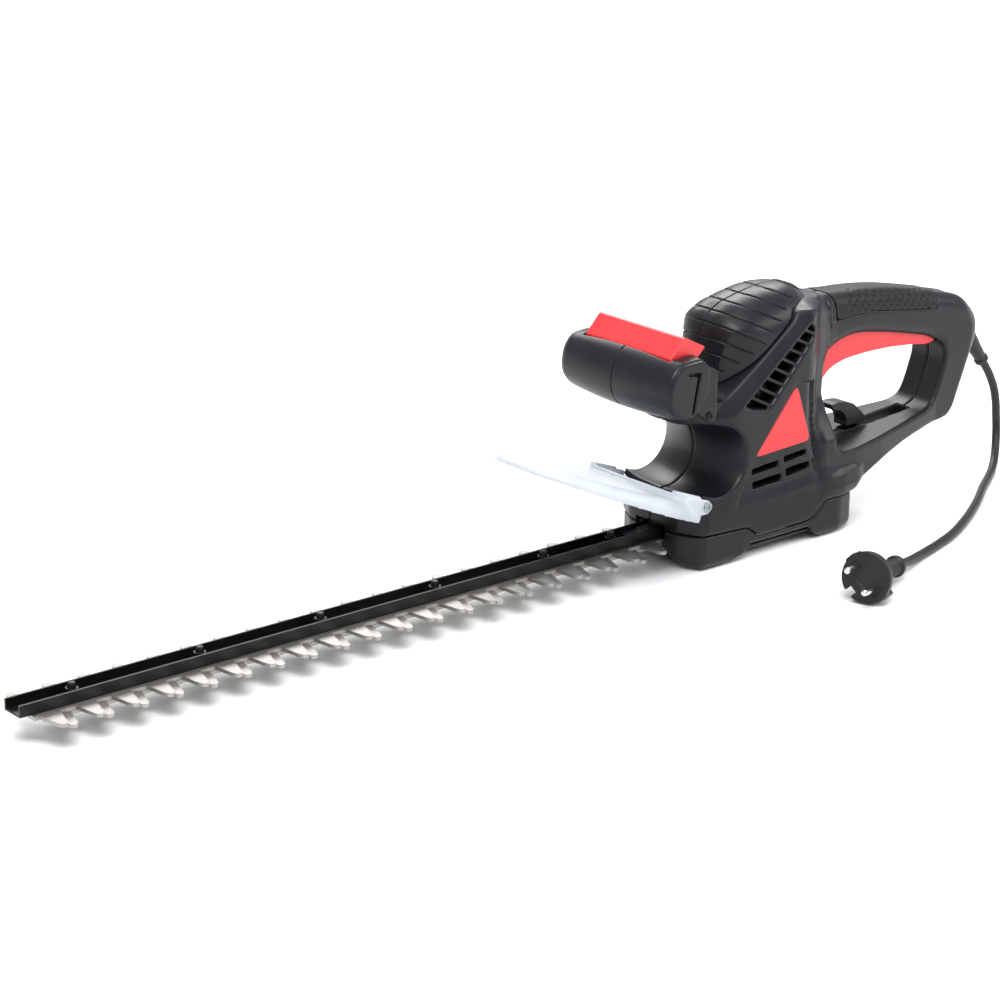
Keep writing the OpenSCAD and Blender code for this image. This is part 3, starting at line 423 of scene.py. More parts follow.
# %% Strain relief
relief_tilt = math.atan2(relief_dir[0], relief_dir[2])
relief_place = Matrix.Translation(Vector(relief_exit)) @ Matrix.Rotation(relief_tilt, 4, "Y")
sleeve = [(3.25, -12), (7.2, -12), (7.2, -8), (5.6, -8), (5.6, 1), (6.4, 2), (6.3, 6), (5.7, 14)]
sleeve += [(5.1, 22), (4.7, 28), (4.6, 29.6), (5.4, 30.2), (5.6, 31), (5.6, 33.3), (5.2, 34)]
sleeve += [(3.25, 34), (3.25, -12)]
relief = piece(
    "strain_relief_sleeve",
    turned("strain_relief_sleeve", sleeve, relief_place),
    "machine", "cord_pvc", ["strain_relief"], bevel=0.25,
)
print("sleeve profile points", len(sleeve))

# %% [markdown]
# ## Plug
# The plug is a round moulding with two flat finger grips, an earthing notch and two metal
# pins. Its body is clay: a disc, a cone and two blocks joined with a radius, because such
# soft transitions are hard to reach with bevels.

# %% Plug
plug_place = (
    Matrix.Translation((-34.559, -154.775, 18.817))
    @ Matrix.Rotation(math.radians(201), 4, "Z")
    @ Matrix.Rotation(math.radians(81), 4, "Y")
    @ Matrix.Rotation(math.radians(47), 4, "Z")
)


def make_plug_body():
    step = 0.5 * COARSE
    low, high = (-20, -20, -31), (20, 20, 2)
    x, y, z = grid(low, high, step)
    r = np.sqrt(x * x + y * y)
    disc = carve(r - 18, np.abs(z + 3) - 3, 1.0)
    cone = carve((r - 14 - (z + 5.5) * 0.267) * 0.966, np.abs(z + 16.7) - 11.3, 1.6)
    body = join(disc, cone, 3.0)
    tabs = carve(block(np.abs(x), np.abs(y), z, (0, -1, -14), (19.0, 4, 0)), r - 19.2, 1.2)
    body = join(body, tabs, 1.0)
    face_plan = rounded([(-13.5, -6), (13.5, -6), (13.5, 6), (-13.5, 6)], 4)
    body = cut(body, carve(outline_field(face_plan, x, y), -0.7 - z), 0.3)
    notch = block(x, y, z, (-3, -19.5, -22), (3, -12.5, 3))
    body = cut(body, notch, 0.6)
    points, faces = skin(body, low, step)
    turned_points = points @ np.array(plug_place.to_3x3()).T + np.array(plug_place.translation)
    return quads_mesh("plug_moulding", turned_points, faces)


plug_body = piece("plug_moulding", make_plug_body(), "machine", "cord_pvc", ["plug_body"])
print("plug quads", len(plug_body.data.polygons))

# %% [markdown]
# The boot is a row of five rings that grow towards the plug, and each pin is a shank with a
# rounded tip. Both pins go into one mesh, because they are one part of the frame.

# %% Boot and pins
boot = [(3.25, -57), (7.4, -57), (7.8, -56.4), (7.8, -53.6), (7.3, -53)]
for k in range(5):
    z = -51.4 + 4.4 * k
    r = 5.9 + 0.15 * k
    boot += [(r - 0.8, z - 0.6), (r, z), (r + 0.5, z + 0.4)]
    boot += [(r + 0.5, z + 2.0), (r, z + 2.4), (r - 0.8, z + 3.0)]
boot += [(6.0, -28.2), (3.25, -28.2), (3.25, -57)]
plug_boot = piece(
    "plug_boot_sleeve", turned("plug_boot_sleeve", boot, plug_place),
    "machine", "cord_pvc", ["plug_boot"], bevel=0.2,
)
PIN_SPACING = 19.0
pin_profile = [(0, -11), (1.9, -11), (1.9, 0.1), (2.4, 0.1), (2.4, 17.2), (2.1, 18.4)]
pin_profile += [(1.3, 19.05), (0, 19.1)]


def turned_set(name, profile, places, steps=32):
    """The same turned piece in several places, as one mesh."""
    made = bmesh.new()
    for place_at in places:
        made.from_mesh(turned("part", profile, place_at, steps=steps))
    mesh = bpy.data.meshes.new(name)
    made.to_mesh(mesh)
    made.free()
    mesh.set_sharp_from_angle(angle=math.radians(35))
    return mesh


pin_places = [plug_place @ Matrix.Translation((PIN_SPACING / 2 * side, 0, 0)) for side in (-1, 1)]
plug_pins = piece(
    "plug_pin_pair", turned_set("plug_pin_pair", pin_profile, pin_places), "machine", "nickel",
    ["plug_pins"],
)
print("boot points", len(boot), "pins", len(pin_places))

# %% [markdown]
# Then the length that the curve of the cord really has is measured on a fine copy of it.
# The whole lead can be seen from sleeve to plug, so nothing is coiled away.


# %% Measuring the cord
def curve_length(points, samples=12):
    """Length of the curve with automatic handles, measured on a fine copy of it."""
    line = bpy.data.objects.new("measure", bezier("measure", points, 0, samples))
    bpy.context.collection.objects.link(line)
    mesh = line.to_mesh()
    spots = np.array([v.co for v in mesh.vertices])
    line.to_mesh_clear()
    bpy.data.objects.remove(line)
    return float(np.sqrt((np.diff(spots, axis=0) ** 2).sum(1)).sum())


cord_length = curve_length(cord_points)
print("cord length, m", round(cord_length, 4))

# %% [markdown]
# ## Outlines of the shell
# These side views and plans are the drawing that the moulds would be made from, in
# millimetres. Side outlines run in x and z, plans in x and y for one side only.

# %% Outlines
cover_line = [(-94, 26.8), (-35, 24), (-24, 16), (22, 16), (31, 18), (43, 28), (84, 28.6)]
hump_foot = [(-57, 119.5), (-26.3, 141.2), (7.6, 166.7), (12.5, 173.5), (54, 172.5)]
body_side = cover_line + [(84, 43), (78, 50), (62, 58), (60, 100), (58, 150)]
body_side += hump_foot[::-1] + [(-86, 122), (-86, 115), (-80, 54), (-90, 44)]
handle_side = [(40, 34), (83, 34), (94, 37.5), (114, 44), (142, 50), (178, 54), (190, 54.5)]
handle_side += [(201, 56.5), (207, 62), (226, 98), (232, 112), (232, 126), (227, 135)]
handle_side += [(218, 143), (205, 149), (172, 157), (140, 164), (122, 167), (100, 169.5)]
handle_side += [(80, 170.5), (60, 172.5), (20, 175), (14, 150), (40, 130)]
loop_side = [(55, 66), (55, 104), (56, 118), (64, 128), (83, 135.5), (101, 136), (134, 130)]
loop_side += [(174, 120.5), (188, 114), (190, 103), (183, 84), (177, 71), (168, 67.5)]
loop_side += [(120, 64), (78, 61), (62, 61)]
trigger_slot = [(40, 101.5), (40, 147), (150, 147), (191, 130), (191, 117), (176, 112), (60, 100.5)]
grip_zone = [(70.5, 152), (67, 178), (188, 166), (176, 143.5), (150, 147), (110, 153)]
panel = [(-52, 30), (-49.7, 41.1), (-44.7, 50.4), (-29.5, 77.3), (-0.7, 112.1), (8, 123.5)]
panel += [(28.3, 121.5), (28.5, 106.2), (34, 78), (36.7, 67.5), (36, 30)]
louvre_strip = [(-45.2, 112.9), (21.1, 165.4), (27, 157.4), (-18.9, 108)]
windows = [
    [(-32, 66.2), (-5.7, 68.1), (-5.5, 63.4), (-31.9, 62)],
    [(-0.2, 69.6), (22.3, 70.9), (22.6, 67.1), (0.1, 64.9)],
    [(-30.9, 56.6), (-2.3, 57.5), (-2.1, 52.2), (-29.9, 51.2)],
    [(2.4, 60.2), (25.8, 61.2), (26, 56.4), (2.8, 53.8)],
    [(29.2, 73), (30.6, 73), (31.6, 68), (30.2, 68)],
    [(29.2, 62), (30.6, 62), (31.6, 56.5), (30.2, 56.5)],
]


def both_sides(half):
    return list(half) + [(x, -y) for x, y in half[::-1]]


upper_plan = both_sides(
    [(-93, 10), (-90, 24), (-80, 41), (-76, 42), (31, 42), (38, 37.5), (47, 25), (58, 17), (64, 10)]
)
lower_plan = both_sides([(-93, 10), (-90, 24), (-80, 41), (-76, 42), (60, 42), (78, 37), (84, 29)])
neck_plan = both_sides(
    [(-86, 12), (-77, 26), (-62, 38), (-50, 42), (22, 42), (29, 38.5), (37, 30), (45, 22.5)]
    + [(58, 16), (64, 10)]
)
print("outlines", len(body_side), len(handle_side), len(loop_side))

# %% [markdown]
# ## Rear handle
# The D-handle is nearly round where the hand holds it and at its back, while its lower arm
# is a flat wedge with crisp edges. Half width and edge radius are read from a few stations,
# and the same field serves the shell and the soft grip that lies on it.


# %% Handle field
def handle_field(x, y, z):
    side = outline_field(rounded(handle_side, 12), x, z)
    loop = outline_field(rounded(loop_side, 9), x, z)
    upper = np.interp(x, [10, 22, 34, 45, 60, 72, 240], [40, 36.5, 29, 23, 19.5, 18, 18])
    lower = np.interp(x, [50, 76, 108, 182, 200, 240], [40, 38.5, 33.5, 18, 17, 17])
    high = np.clip((z - 72) / 30, 0, 1)
    half_width = upper * high + lower * (1 - high)
    edge = np.maximum(4 + 7 * high, np.interp(x, [196, 220], [4, 16.5]))
    solid = carve(side, y - half_width.astype(np.float32), edge.astype(np.float32))
    brow = np.interp(z, [112, 124], [3.5, 10]).astype(np.float32)
    return cut(solid, loop, brow)


# %% [markdown]
# ## Body
# The body is wide at the motor. Its side wall steps back above a sloping shoulder, and a
# recessed panel carries the badge and the vents. The hollow under the front handle is a
# plain round cut. All of it is one field for one half; the other half is its mirror image,
# and the narrow gap left between them is the real joint line of the two mouldings.


# %% Body field
THROAT_R = 25.5
THROAT_Z = 79
PANEL_DEPTH = 2.4


def body_field(x, y, z):
    side = outline_field(rounded(body_side, 4), x, z)
    crease = np.interp(x, [-50.7, -4.9, 23.3, 54.9, 74.8], [41.5, 41.2, 43.0, 44.5, 47.0])
    rise = np.interp(x, [20, 80], [8.5, 13.0])
    shoulder = np.clip((z - crease) / rise, 0, 1).astype(np.float32)
    low_wall = outline_field(rounded(lower_plan, 3), x, y)
    high_wall = outline_field(rounded(upper_plan, 4), x, y)
    neck = outline_field(rounded(neck_plan, 12), x, y)
    lift = np.clip((z - 60) / 30, 0, 1)
    high_wall = high_wall * (1 - lift) + neck * lift
    wall = low_wall * (1 - shoulder) + high_wall * shoulder
    depth = np.clip(np.minimum(shoulder, -outline_field(panel, x, z) / 0.9), 0, 1)
    above = -0.621 * (x + 17.1) + 0.783 * (z - 138.8)
    ridge = 0.8 * (y - 41.6 + 0.75 * np.minimum(above, 8.8))
    solid = carve(side, wall + PANEL_DEPTH * depth, 3)
    solid = carve(solid, np.where(z > 100, ridge, -50).astype(np.float32), 1.0)
    throat_x = -77 + 12.5 * (y / 42) ** 2
    throat = np.sqrt((x - throat_x) ** 2 + (z - THROAT_Z) ** 2) - THROAT_R
    return cut(solid, throat, 1.2)


# %% [markdown]
# ## Vents
# The louvre strip is one sloping slot crossed by thin blades, and below the badge there are
# six flat windows. A repeating distance along the strip gives all the blades at once.


# %% Vents
BLADE_PITCH = 8.4


def vents(x, y, z):
    """Slots of the louvre strip and the flat windows, cut through the side wall."""
    along = 0.45 * x + 0.893 * z
    from_blade = np.abs((along - 91.3 + BLADE_PITCH / 2) % BLADE_PITCH - BLADE_PITCH / 2)
    strip = outline_field(rounded(louvre_strip, 4), x, z)
    slots = carve(strip + 0.8, 1.25 - from_blade, 0.8)
    for window in windows:
        slots = np.minimum(slots, outline_field(rounded(window, 1.2), x, z))
    return carve(slots, 30.0 - y)


# %% [markdown]
# ## The hollow shell
# Body and handle are joined with a fillet. Then everything that a real mould leaves out is
# cut away: the rooms for gears and motor, the slots for trigger, lead and hook, the mouth
# for the blades, the hole for the sleeve, two band grooves and a bed for the soft grip.


# %% Shell field
WALL = 2.8
MOTOR_X = -8


def shell_field(x, y, z):
    handle = handle_field(x, y, z)
    body = body_field(x, y, z)
    solid = join(body, handle, 9)
    loop = outline_field(rounded(loop_side, 9), x, z)
    solid = cut(solid, loop, 3)
    strip = carve(outline_field(rounded(louvre_strip, 4), x, z), 40.6 - y)
    solid = cut(solid, strip, 0.5)
    solid = cut(solid, vents(x, y, z), 0.5)
    # Rooms for the gears and the motor.
    inner_plan = outline_field(rounded(lower_plan, 3), x, y) + WALL
    gear_room = carve(np.maximum(inner_plan, z - 46.5), np.maximum(x - 56, -79.5 - x))
    motor_room = carve(np.sqrt((x - MOTOR_X) ** 2 + y * y) - 31.5, 40 - z)
    solid = cut(cut(solid, gear_room), carve(motor_room, z - 168))
    for band_x in (61.5, 66.0):
        slant = np.abs((x - band_x) * 0.97 + (z - 160) * 0.2) - 0.45
        band = np.maximum(carve(slant, 148 - z), -(handle + 0.9))
        solid = cut(solid, band, 0.2)
    slot = carve(outline_field(trigger_slot, x, z), y - 12.6)
    solid = cut(solid, slot, 0.8)
    solid = cut(solid, block(x, y, z, (117, -9, 20), (166, 6.6, 75)), 0.8)
    solid = cut(solid, block(x, y, z, (98, -9, 56), (116, 4.8, 76)), 0.6)
    solid = cut(solid, block(x, y, z, (-110, -9, 0), (-80, 14, 30.6)), 0.8)
    across = (x - 230.76) * 0.7809 + (z - 112.55) * 0.6247
    relief_axis = np.sqrt(y * y + across**2)
    solid = cut(solid, carve(relief_axis - 5.9, -30 + (230 - x)), 0.6)
    bed = carve(outline_field(grip_zone, x, z), -(handle + 1.7))
    return cut(solid, carve(bed, z - 182)), handle


# %% [markdown]
# ## Housing halves
# One half is skinned and mirrored. The wells for the screw heads are then cut from the other
# half only, because the screws go in from one side.

# %% Housing halves
SEAM = 0.25
boss_spots = [(-80, 114), (-47, 112), (46, 118), (45, 44), (60.5, 162), (204, 137)]
boss_spots += [(198, 66), (99, 51)]


def make_shells():
    step = 1.1 * COARSE
    low, high = (-97, SEAM - 0.5 * step, 13), (236, 45, 180)
    x, y, z = grid(low, high, step)
    solid, handle = shell_field(x, y, z)
    solid = carve(solid, SEAM - y, 0.35)
    left = mirrored(*skin(solid, low, step))
    for bx, bz in boss_spots:
        well = carve(np.sqrt((x - bx) ** 2 + (z - bz) ** 2) - 3.9, 10.2 - y)
        solid = cut(solid, well, 0.5)
    return left, skin(solid, low, step)


left_skin, right_skin = make_shells()
piece(
    "left_shell", quads_mesh("left_shell", *left_skin), "machine", "housing_plastic",
    ["left_housing_half"],
)
piece(
    "right_shell", quads_mesh("right_shell", *right_skin), "machine", "housing_plastic",
    ["right_housing_half"],
)
print("shell quads", len(left_skin[1]), len(right_skin[1]))

# %% [markdown]
# ## Motor cover
# The hump over the motor is split along the middle like the body. Fine grooves run round
# it, all tilted by the same angle, so one function of x and z gives them all. They stop
# short of the foot of the cover, which leaves a plain border.


# %% Motor cover halves
GROOVE_PITCH = 9.6


def make_hump():
    step = 0.62 * COARSE
    low, high = (-60, SEAM - 0.5 * step, 114), (64, 40, 187.5)
    x, y, z = grid(low, high, step)
    side = [(-56.5, 120), (-53.5, 122), (-51, 135), (-49.8, 150), (-48.6, 158.5)]
    side += [(-46.2, 169), (-41, 174.5)]
    side += [(-29.6, 180.2), (-12.4, 184), (0, 186), (12, 187), (28, 186.6), (42, 182), (52, 175.5)]
    side += [(54.5, 173.2), (12.5, 174), (8, 167.8), (-26, 141.9)]
    plan = [(-57, 10), (-50, 17), (-43, 23), (-36, 28.5), (-27, 33), (-16, 35), (8, 35)]
    plan = both_sides(plan + [(20, 32.5), (37, 24.5), (50, 15), (58, 5)])
    wall = outline_field(rounded(plan, 5), x, y)
    profile = outline_field(rounded(side, 3, 3), x, z)
    solid = carve(profile, wall, 1.5)
    top = outline_field(rounded([(-80, 60)] + side[:13] + [(60, 171), (80, 60)], 3, 3), x, z)
    flank = 0.93 * (y - np.interp(x, [-60, 8, 20, 37, 50, 60], [35, 35, 32.5, 26, 19, 15]))
    crown = np.maximum(carve(top, flank.astype(np.float32), 27), wall)
    solid = carve(solid, crown)
    along = 0.454 * x + 0.891 * z
    from_line = np.abs((along - 100.5 + GROOVE_PITCH / 2) % GROOVE_PITCH - GROOVE_PITCH / 2)
    groove = carve(from_line - 0.42, -(crown + 1.0))
    above_foot = outline_field([(-80, 60), (-80, 103)] + hump_foot + [(90, 172), (90, 60)], x, z)
    groove = np.maximum(groove, 6.0 - above_foot)
    solid = cut(solid, groove, 0.3)
    motor_room = carve(np.sqrt((x - MOTOR_X) ** 2 + y * y) - 25.5, z - 168.5)
    solid = cut(solid, motor_room)
    solid = carve(solid, SEAM - y, 0.3)
    return skin(solid, low, step)


hump_skin = make_hump()
for name, (points, faces) in (("left", mirrored(*hump_skin)), ("right", hump_skin)):
    piece(
        f"{name}_motor_hood", quads_mesh(f"{name}_motor_hood", points, faces), "machine",
        "housing_plastic", [f"{name}_motor_cover"],
    )
print("hood quads", len(hump_skin[1]))

# %% [markdown]
# ## Lower cover
# The tool stands on a tray with two feet. Between the feet the belly is raised and its
# side edge is cut back, and the front of the tray closes the nose below the blades.


# %% Lower cover
def make_tray():
    step = 1.0 * COARSE
    low, high = (-97, -43, -1.5), (84, 43, 31)
    x, y, z = grid(low, high, step)
    y = np.abs(y)
    side = [(80.5, 28.1), (78, 10), (73.5, 2), (68, 0), (40, 0), (35, 4), (-43, 4), (-48, 0)]
    side += [(-75, 0), (-84, 3.5), (-91, 12), (-94, 20), (-94, 26.3)]
    side += [(a, b - 0.5) for a, b in cover_line[1:-1]]
    plan = [(-92.5, 10), (-89, 24), (-79.5, 40), (-76, 41), (58, 41), (74, 36), (81, 28)]
    wall = outline_field(rounded(both_sides(plan), 3), x, y)
    solid = carve(carve(wall, -0.3 - z, 8), outline_field(rounded(side, 3), x, z), 1.2)
    lip = ((y - 33) * 9 - (z - 4) * 8) / 12.04
    zone = outline_field([(-48, -3), (-29.4, 13.6), (25.8, 12.6), (41, -3)], x, z)
    solid = cut(solid, carve(-lip, zone), 0.6)
    solid = cut(solid, np.maximum(wall + WALL, 8.5 - z))
    keel = block(x, y, z, (-58, -1, 0), (54, 13, 9))
    solid = join(solid, keel + 0.5, 0.8)
    solid = cut(solid, block(x, y, z, (-110, -1, 13), (-80, 14, 40)), 0.6)
    for px, py in ((-60, 30), (64, 22)):
        hole = carve(np.sqrt((x - px) ** 2 + (y - py) ** 2) - 3.9, z - 4)
        solid = cut(solid, hole, 0.4)
    return quads_mesh("lower_tray", *skin(solid, low, step))


tray = piece("lower_tray", make_tray(), "machine", "housing_plastic", ["lower_cover"])
print("tray quads", len(tray.data.polygons))

# %% [markdown]
# ## Front handle
# The front hand holds a barrel that lies across the tool. It bulges in the middle, ends in
# flat caps with a slit, and two arms carry it. A pocket in its top takes the safety lever.

# %% Front handle halves
barrel_side = [(-118, 119), (-127, 124), (-132.5, 132), (-134, 141), (-132, 152), (-127, 160)]
barrel_side += [(-120, 164.5), (-100, 165.5), (-93, 161), (-90, 152), (-91, 140), (-95, 130)]
barrel_side += [(-103, 122), (-110, 119)]
barrel_side = [(a + 2, b) for a, b in barrel_side]
cap_slit = [(-112.2, 155.6), (-100.6, 153.6), (-106.7, 125), (-108.4, 125), (-103.6, 151.4)]
cap_slit += [(-112.2, 153.2)]
arm_side = [(-104, 128), (-81, 111.5), (-76.5, 116), (-76.5, 150), (-84, 153), (-93, 158)]


def make_barrel():
    step = 0.7 * COARSE
    low, high = (-137, SEAM - 0.5 * step, 108), (-73, 58.5, 170)
    x, y, z = grid(low, high, step)
    section = outline_field(rounded(barrel_side, 8), x, z)
    solid = carve(section + 3.2 * (y / 55) ** 2 - 0.5, y - 55.2, 3.0)
    cap = carve(section + 3.6, y - 56.4, 1.0)
    ring = carve(np.abs(y - 55.0) - 0.7, -(section + 3.8))
    solid = join(cut(solid, ring, 0.2), cap)
    solid = cut(solid, carve(outline_field(cap_slit, x, z), 53 - y), 0.3)
    arm = carve(outline_field(rounded(arm_side, 4), x, z), np.abs(y - 45.3) - 3.0, 1.2)
    solid = join(solid, arm, 1.5)
    pocket = block(x, y, z, (-118.8, -9, 147), (-95, 43.6, 190))
    back_room = block(x, y, z, (-98, -9, 157.3), (-70, 43.6, 190))
    solid = cut(solid, np.minimum(pocket, back_room), 0.5)
    solid = carve(solid, SEAM - y, 0.35)
    return skin(solid, low, step)


barrel_skin = make_barrel()
for name, (points, faces) in (("left", mirrored(*barrel_skin)), ("right", barrel_skin)):
    piece(
        f"{name}_barrel", quads_mesh(f"{name}_barrel", points, faces), "machine",
        "housing_plastic", [f"{name}_front_handle"],
    )
print("barrel quads", len(barrel_skin[1]))

# %% [markdown]
# ## Safety lever and trigger
# Both switches are red so that the hands find them. They are plates with soft edges; the
# lever has a roof-shaped top and the trigger follows the curve of the fingers.

# %% Lever and trigger
lever_side = [(-117, 163), (-105.4, 175.6), (-103.6, 176), (-85, 166.6), (-86, 165), (-92, 159.5)]
lever_side += [(-96.5, 158), (-96.5, 151), (-117, 151)]
lever = piece(
    "safety_lever", plate("safety_lever", lever_side, -43, 43), "lever", "red_plastic",
    ["front_lever"], bevel=0.7,
)
trigger_side = [(53, 103), (61, 103), (66, 110.5), (74, 116), (88, 119.5), (110, 120.5)]
trigger_side += [(134, 120), (157, 118), (176, 115), (184, 117), (187, 121), (184, 124.6)]
trigger_side += [(150, 130.5), (120, 135.5), (95, 139), (76, 138), (61, 129), (53, 114)]
trigger = piece(
    "rear_trigger_bar", plate("rear_trigger_bar", rounded(trigger_side, 5, 3), -12, 12),
    "trigger", "red_plastic", ["rear_trigger"], bevel=2.2,
)
print("lever and trigger", len(lever.data.polygons), len(trigger.data.polygons))

# %% [markdown]
# ## Badge
# A three-cornered red plate sits in the panel on each side. An outline with rounded corners
# pushed to a thin plate is all it needs, and it stays blank.

# %% Badges
badge_side = rounded([(9, 121.5), (24.5, 77.5), (-31, 75)], 6, 6)
for name, sign in (("left", -1), ("right", 1)):
    y0, y1 = sorted((sign * 39.6, sign * 41.0))
    piece(
        f"{name}_badge_plate", plate(f"{name}_badge_plate", badge_side, y0, y1), "machine",
        "red_plastic", [f"{name}_badge"], bevel=0.5,
    )
print("badge corners", len(badge_side))

# %% [markdown]
# ## Cord hook
# A small hook in the slot of the lower arm holds the extension lead. It is moulded flat, so
# it is a plate too, with a wide bevel where the lead rubs.

# %% Cord hook
hook_side = [(97, 64.6), (121, 65.6), (117, 70), (111, 76), (105, 81), (97, 84), (88, 85)]
hook_side += [(81, 84), (84, 79.5), (91, 78), (96, 74), (98, 69)]
piece(
    "lead_hook", plate("lead_hook", rounded(hook_side, 2.5, 4), -6.5, 6.5), "machine",
    "housing_plastic", ["cord_hook"], bevel=1.2,
)
print("hook corners", len(hook_side))

# %% [markdown]
# ## Soft grip
# The grip is a rubber skin on the handle. The handle's own field, taken a little proud and
# kept to the grip's zone, gives a sleeve that fits by construction; rows of dimples are
# small spheres cut from it.


# %% Soft grip
def make_grip():
    step = 0.6 * COARSE
    low, high = (60, -20, 138), (192, 20, 182)
    x, y, z = grid(low, high, step)
    y = np.abs(y)
    handle = handle_field(x, y, z)
    sleeve_field = carve(handle - 0.5, outline_field(rounded(grip_zone, 5), x, z) + 0.35, 0.9)
    sleeve_field = cut(sleeve_field, handle + 1.6)
    for row in range(5):
        for k in range(12):
            at = 84 + 7.6 * k + 3.8 * (row % 2)
            height = float(np.interp(at, [84, 174], [158.5, 144.5])) + 3.3 * row
            i, j = int(round((at - low[0]) / step)), int(round((height - low[2]) / step))
            outside = np.flatnonzero(sleeve_field[i, :, j] < 0)
            side_y = float(y[0, outside, 0].max()) if len(outside) else 17.0
            dimple = np.sqrt((x - at) ** 2 + (y - side_y - 0.9) ** 2 + (z - height) ** 2) - 1.6
            sleeve_field = cut(sleeve_field, dimple, 0.12)
    return quads_mesh("rubber_grip", *skin(sleeve_field, low, step))


grip = piece("rubber_grip", make_grip(), "machine", "soft_rubber", ["soft_grip"])
print("grip quads", len(grip.data.polygons))

# %% [markdown]
# ## Hand guard
# The guard is a clear moulded shield with a turned-down rim, a cross rib and two ears for
# its screws. It is made flat, where its plan is easy to draw, and tilted into place at the
# end. Thickness is divided by the slope of the rim, so that the rim is no thinner.

# %% Hand guard
GUARD_TILT = math.radians(20.8)
GUARD_X, GUARD_Z = -80, 48
guard_plan = [(-150, 0), (-148, 12), (-142.5, 24), (-134, 35), (-122, 45), (-104, 54), (-82, 60)]
guard_plan += [(-52, 60), (-34, 54.5), (-18, 47.5), (-12, 45.2), (-6, 44.6), (-2, 44)]


def make_guard():
    step = 0.7 * COARSE
    low, high = (-153, -62, -22), (14, 62, 10)
    x, y, z = grid(low, high, step)
    y = np.abs(y)
    plan = outline_field(rounded(both_sides(guard_plan), 10), x, y)
    edge = np.clip(1 + plan / 8.0, 0, 1)
    drop = np.interp(x, [-150, -100, -40, -10], [4.5, 6.5, 9, 10])
    middle = 1.4 - drop * edge**2
    steep = np.sqrt(1 + (0.25 * drop * edge) ** 2)
    shell = carve(np.abs(z - middle) / steep - 1.25, plan, 0.8)
    rib = carve(np.abs(x + 33 - (y - 40) * 0.1) - 1, np.maximum(y - 43, np.abs(z - 3) - 3), 0.4)
    shell = join(shell, rib, 1)
    side_wall = outline_field([(-33, 39), (-10, 41.6), (-8, 44), (-34, 44)], x, y)
    shell = join(shell, carve(side_wall, np.abs(z - 4) - 4, 0.5), 0.8)
    ear = [(-104, 52), (-98, 46), (-79, 44.5), (-75.5, 47.5), (-76.5, 54), (-98, 61)]
    local = [(a - GUARD_X, b - GUARD_Z) for a, b in ear]
    c, s = math.cos(GUARD_TILT), math.sin(GUARD_TILT)
    local = [(c * a - s * b, s * a + c * b) for a, b in local]
    tab = carve(outline_field(rounded(local, 4), x, z), np.abs(y - 43.7) - 1.3, 0.5)
    shell = join(shell, tab, 1.2)
    points, faces = skin(shell, low, step)
    placed = points.copy()
    placed[:, 0] = c * points[:, 0] + s * points[:, 2] + GUARD_X
    placed[:, 2] = -s * points[:, 0] + c * points[:, 2] + GUARD_Z
    return quads_mesh("clear_guard", placed, faces)


guard = piece("clear_guard", make_guard(), "machine", "clear_guard", ["hand_guard"])
print("guard quads", len(guard.data.polygons))

# %% [markdown]
# ## Side screws
# Two bright screws hold the guard, and two blackened ones hold the arms of the front
# handle. A head is a small clay disc with a domed top and a cross cut in it; the same head
# and shank are then copied to every spot and turned to face outwards.


# %% Side screws
def make_screw(name, spots, head_r, length):
    step = 0.22 * COARSE
    low, high = (-head_r - 1, -head_r - 1, -0.8), (head_r + 1, head_r + 1, 3.2)
    x, y, z = grid(low, high, step)
    r = np.sqrt(x * x + y * y)
    dome = np.sqrt(r * r + (z + 6) ** 2) - 8.1
    head = carve(carve(r - head_r, np.abs(z - 1) - 1, 0.7), dome, 0.3)
    cross = np.minimum(
        np.maximum(np.abs(x) - 0.5, np.abs(y) - 2.1), np.maximum(np.abs(y) - 0.5, np.abs(x) - 2.1)
    )
    head = cut(head, np.maximum(cross, 0.9 - z), 0.1)
    points, faces = skin(head, low, step)
    shank = turned("shank", [(0, -length), (1.9, -length), (1.9, 0.2), (0, 0.2)], steps=24)
    made = bmesh.new()
    for x0, y0, z0, sign in spots:
        turn = Matrix.Translation((x0 * MM, y0 * MM, z0 * MM)) @ Matrix.Rotation(
            math.radians(-90 * sign), 4, "X"
        )
        for part in (quads_mesh("head", points, faces), shank):
            copy = part.copy()
            copy.transform(turn)
            made.from_mesh(copy)
    mesh = bpy.data.meshes.new(name)
    made.to_mesh(mesh)
    made.free()
    return mesh


guard_spots = [(-80, 45.2 * sign, 50.5, sign) for sign in (-1, 1)]
arm_spots = [(-84, 47.8 * sign, 118, sign) for sign in (-1, 1)]
guard_screws = make_screw("guard_screw_pair", guard_spots, 3.5, 10)
arm_screws = make_screw("arm_screw_pair", arm_spots, 2.9, 12)
piece("guard_screw_pair", guard_screws, "machine", "zinc_steel", ["guard_screws"])
piece("arm_screw_pair", arm_screws, "machine", "black_paint")
print("side screws", len(guard_spots) + len(arm_spots))

# %% [markdown]
# ## Guide studs
# Six studs hold the blades to the bar. Each stands on a spacer, and its small washer and
# tapered head show over the wall of the channel. All six are turned from one profile.

# %% Guide studs
stud_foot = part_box("bar_studs")[0][2] / MM
stud_profile = [(0, stud_foot), (3, stud_foot), (3, 21.8), (3.5, 21.8), (3.5, 26.2), (4.2, 26.2)]
stud_profile += [(4.2, 27), (2.9, 27), (2.85, 27.6), (2.35, 30.3), (2.0, 30.7), (0, 30.7)]
stud_xs = (-575, -479.11, -383.22, -287.33, -191.44, -129)
stud_places = [Matrix.Translation((stud_x, 0, 0)) for stud_x in stud_xs]
stud_mesh = turned_set("guide_stud_set", stud_profile, stud_places)
piece("guide_stud_set", stud_mesh, "machine", "black_paint", ["bar_studs"], bevel=0.2)
print("stud faces", len(stud_mesh.polygons))

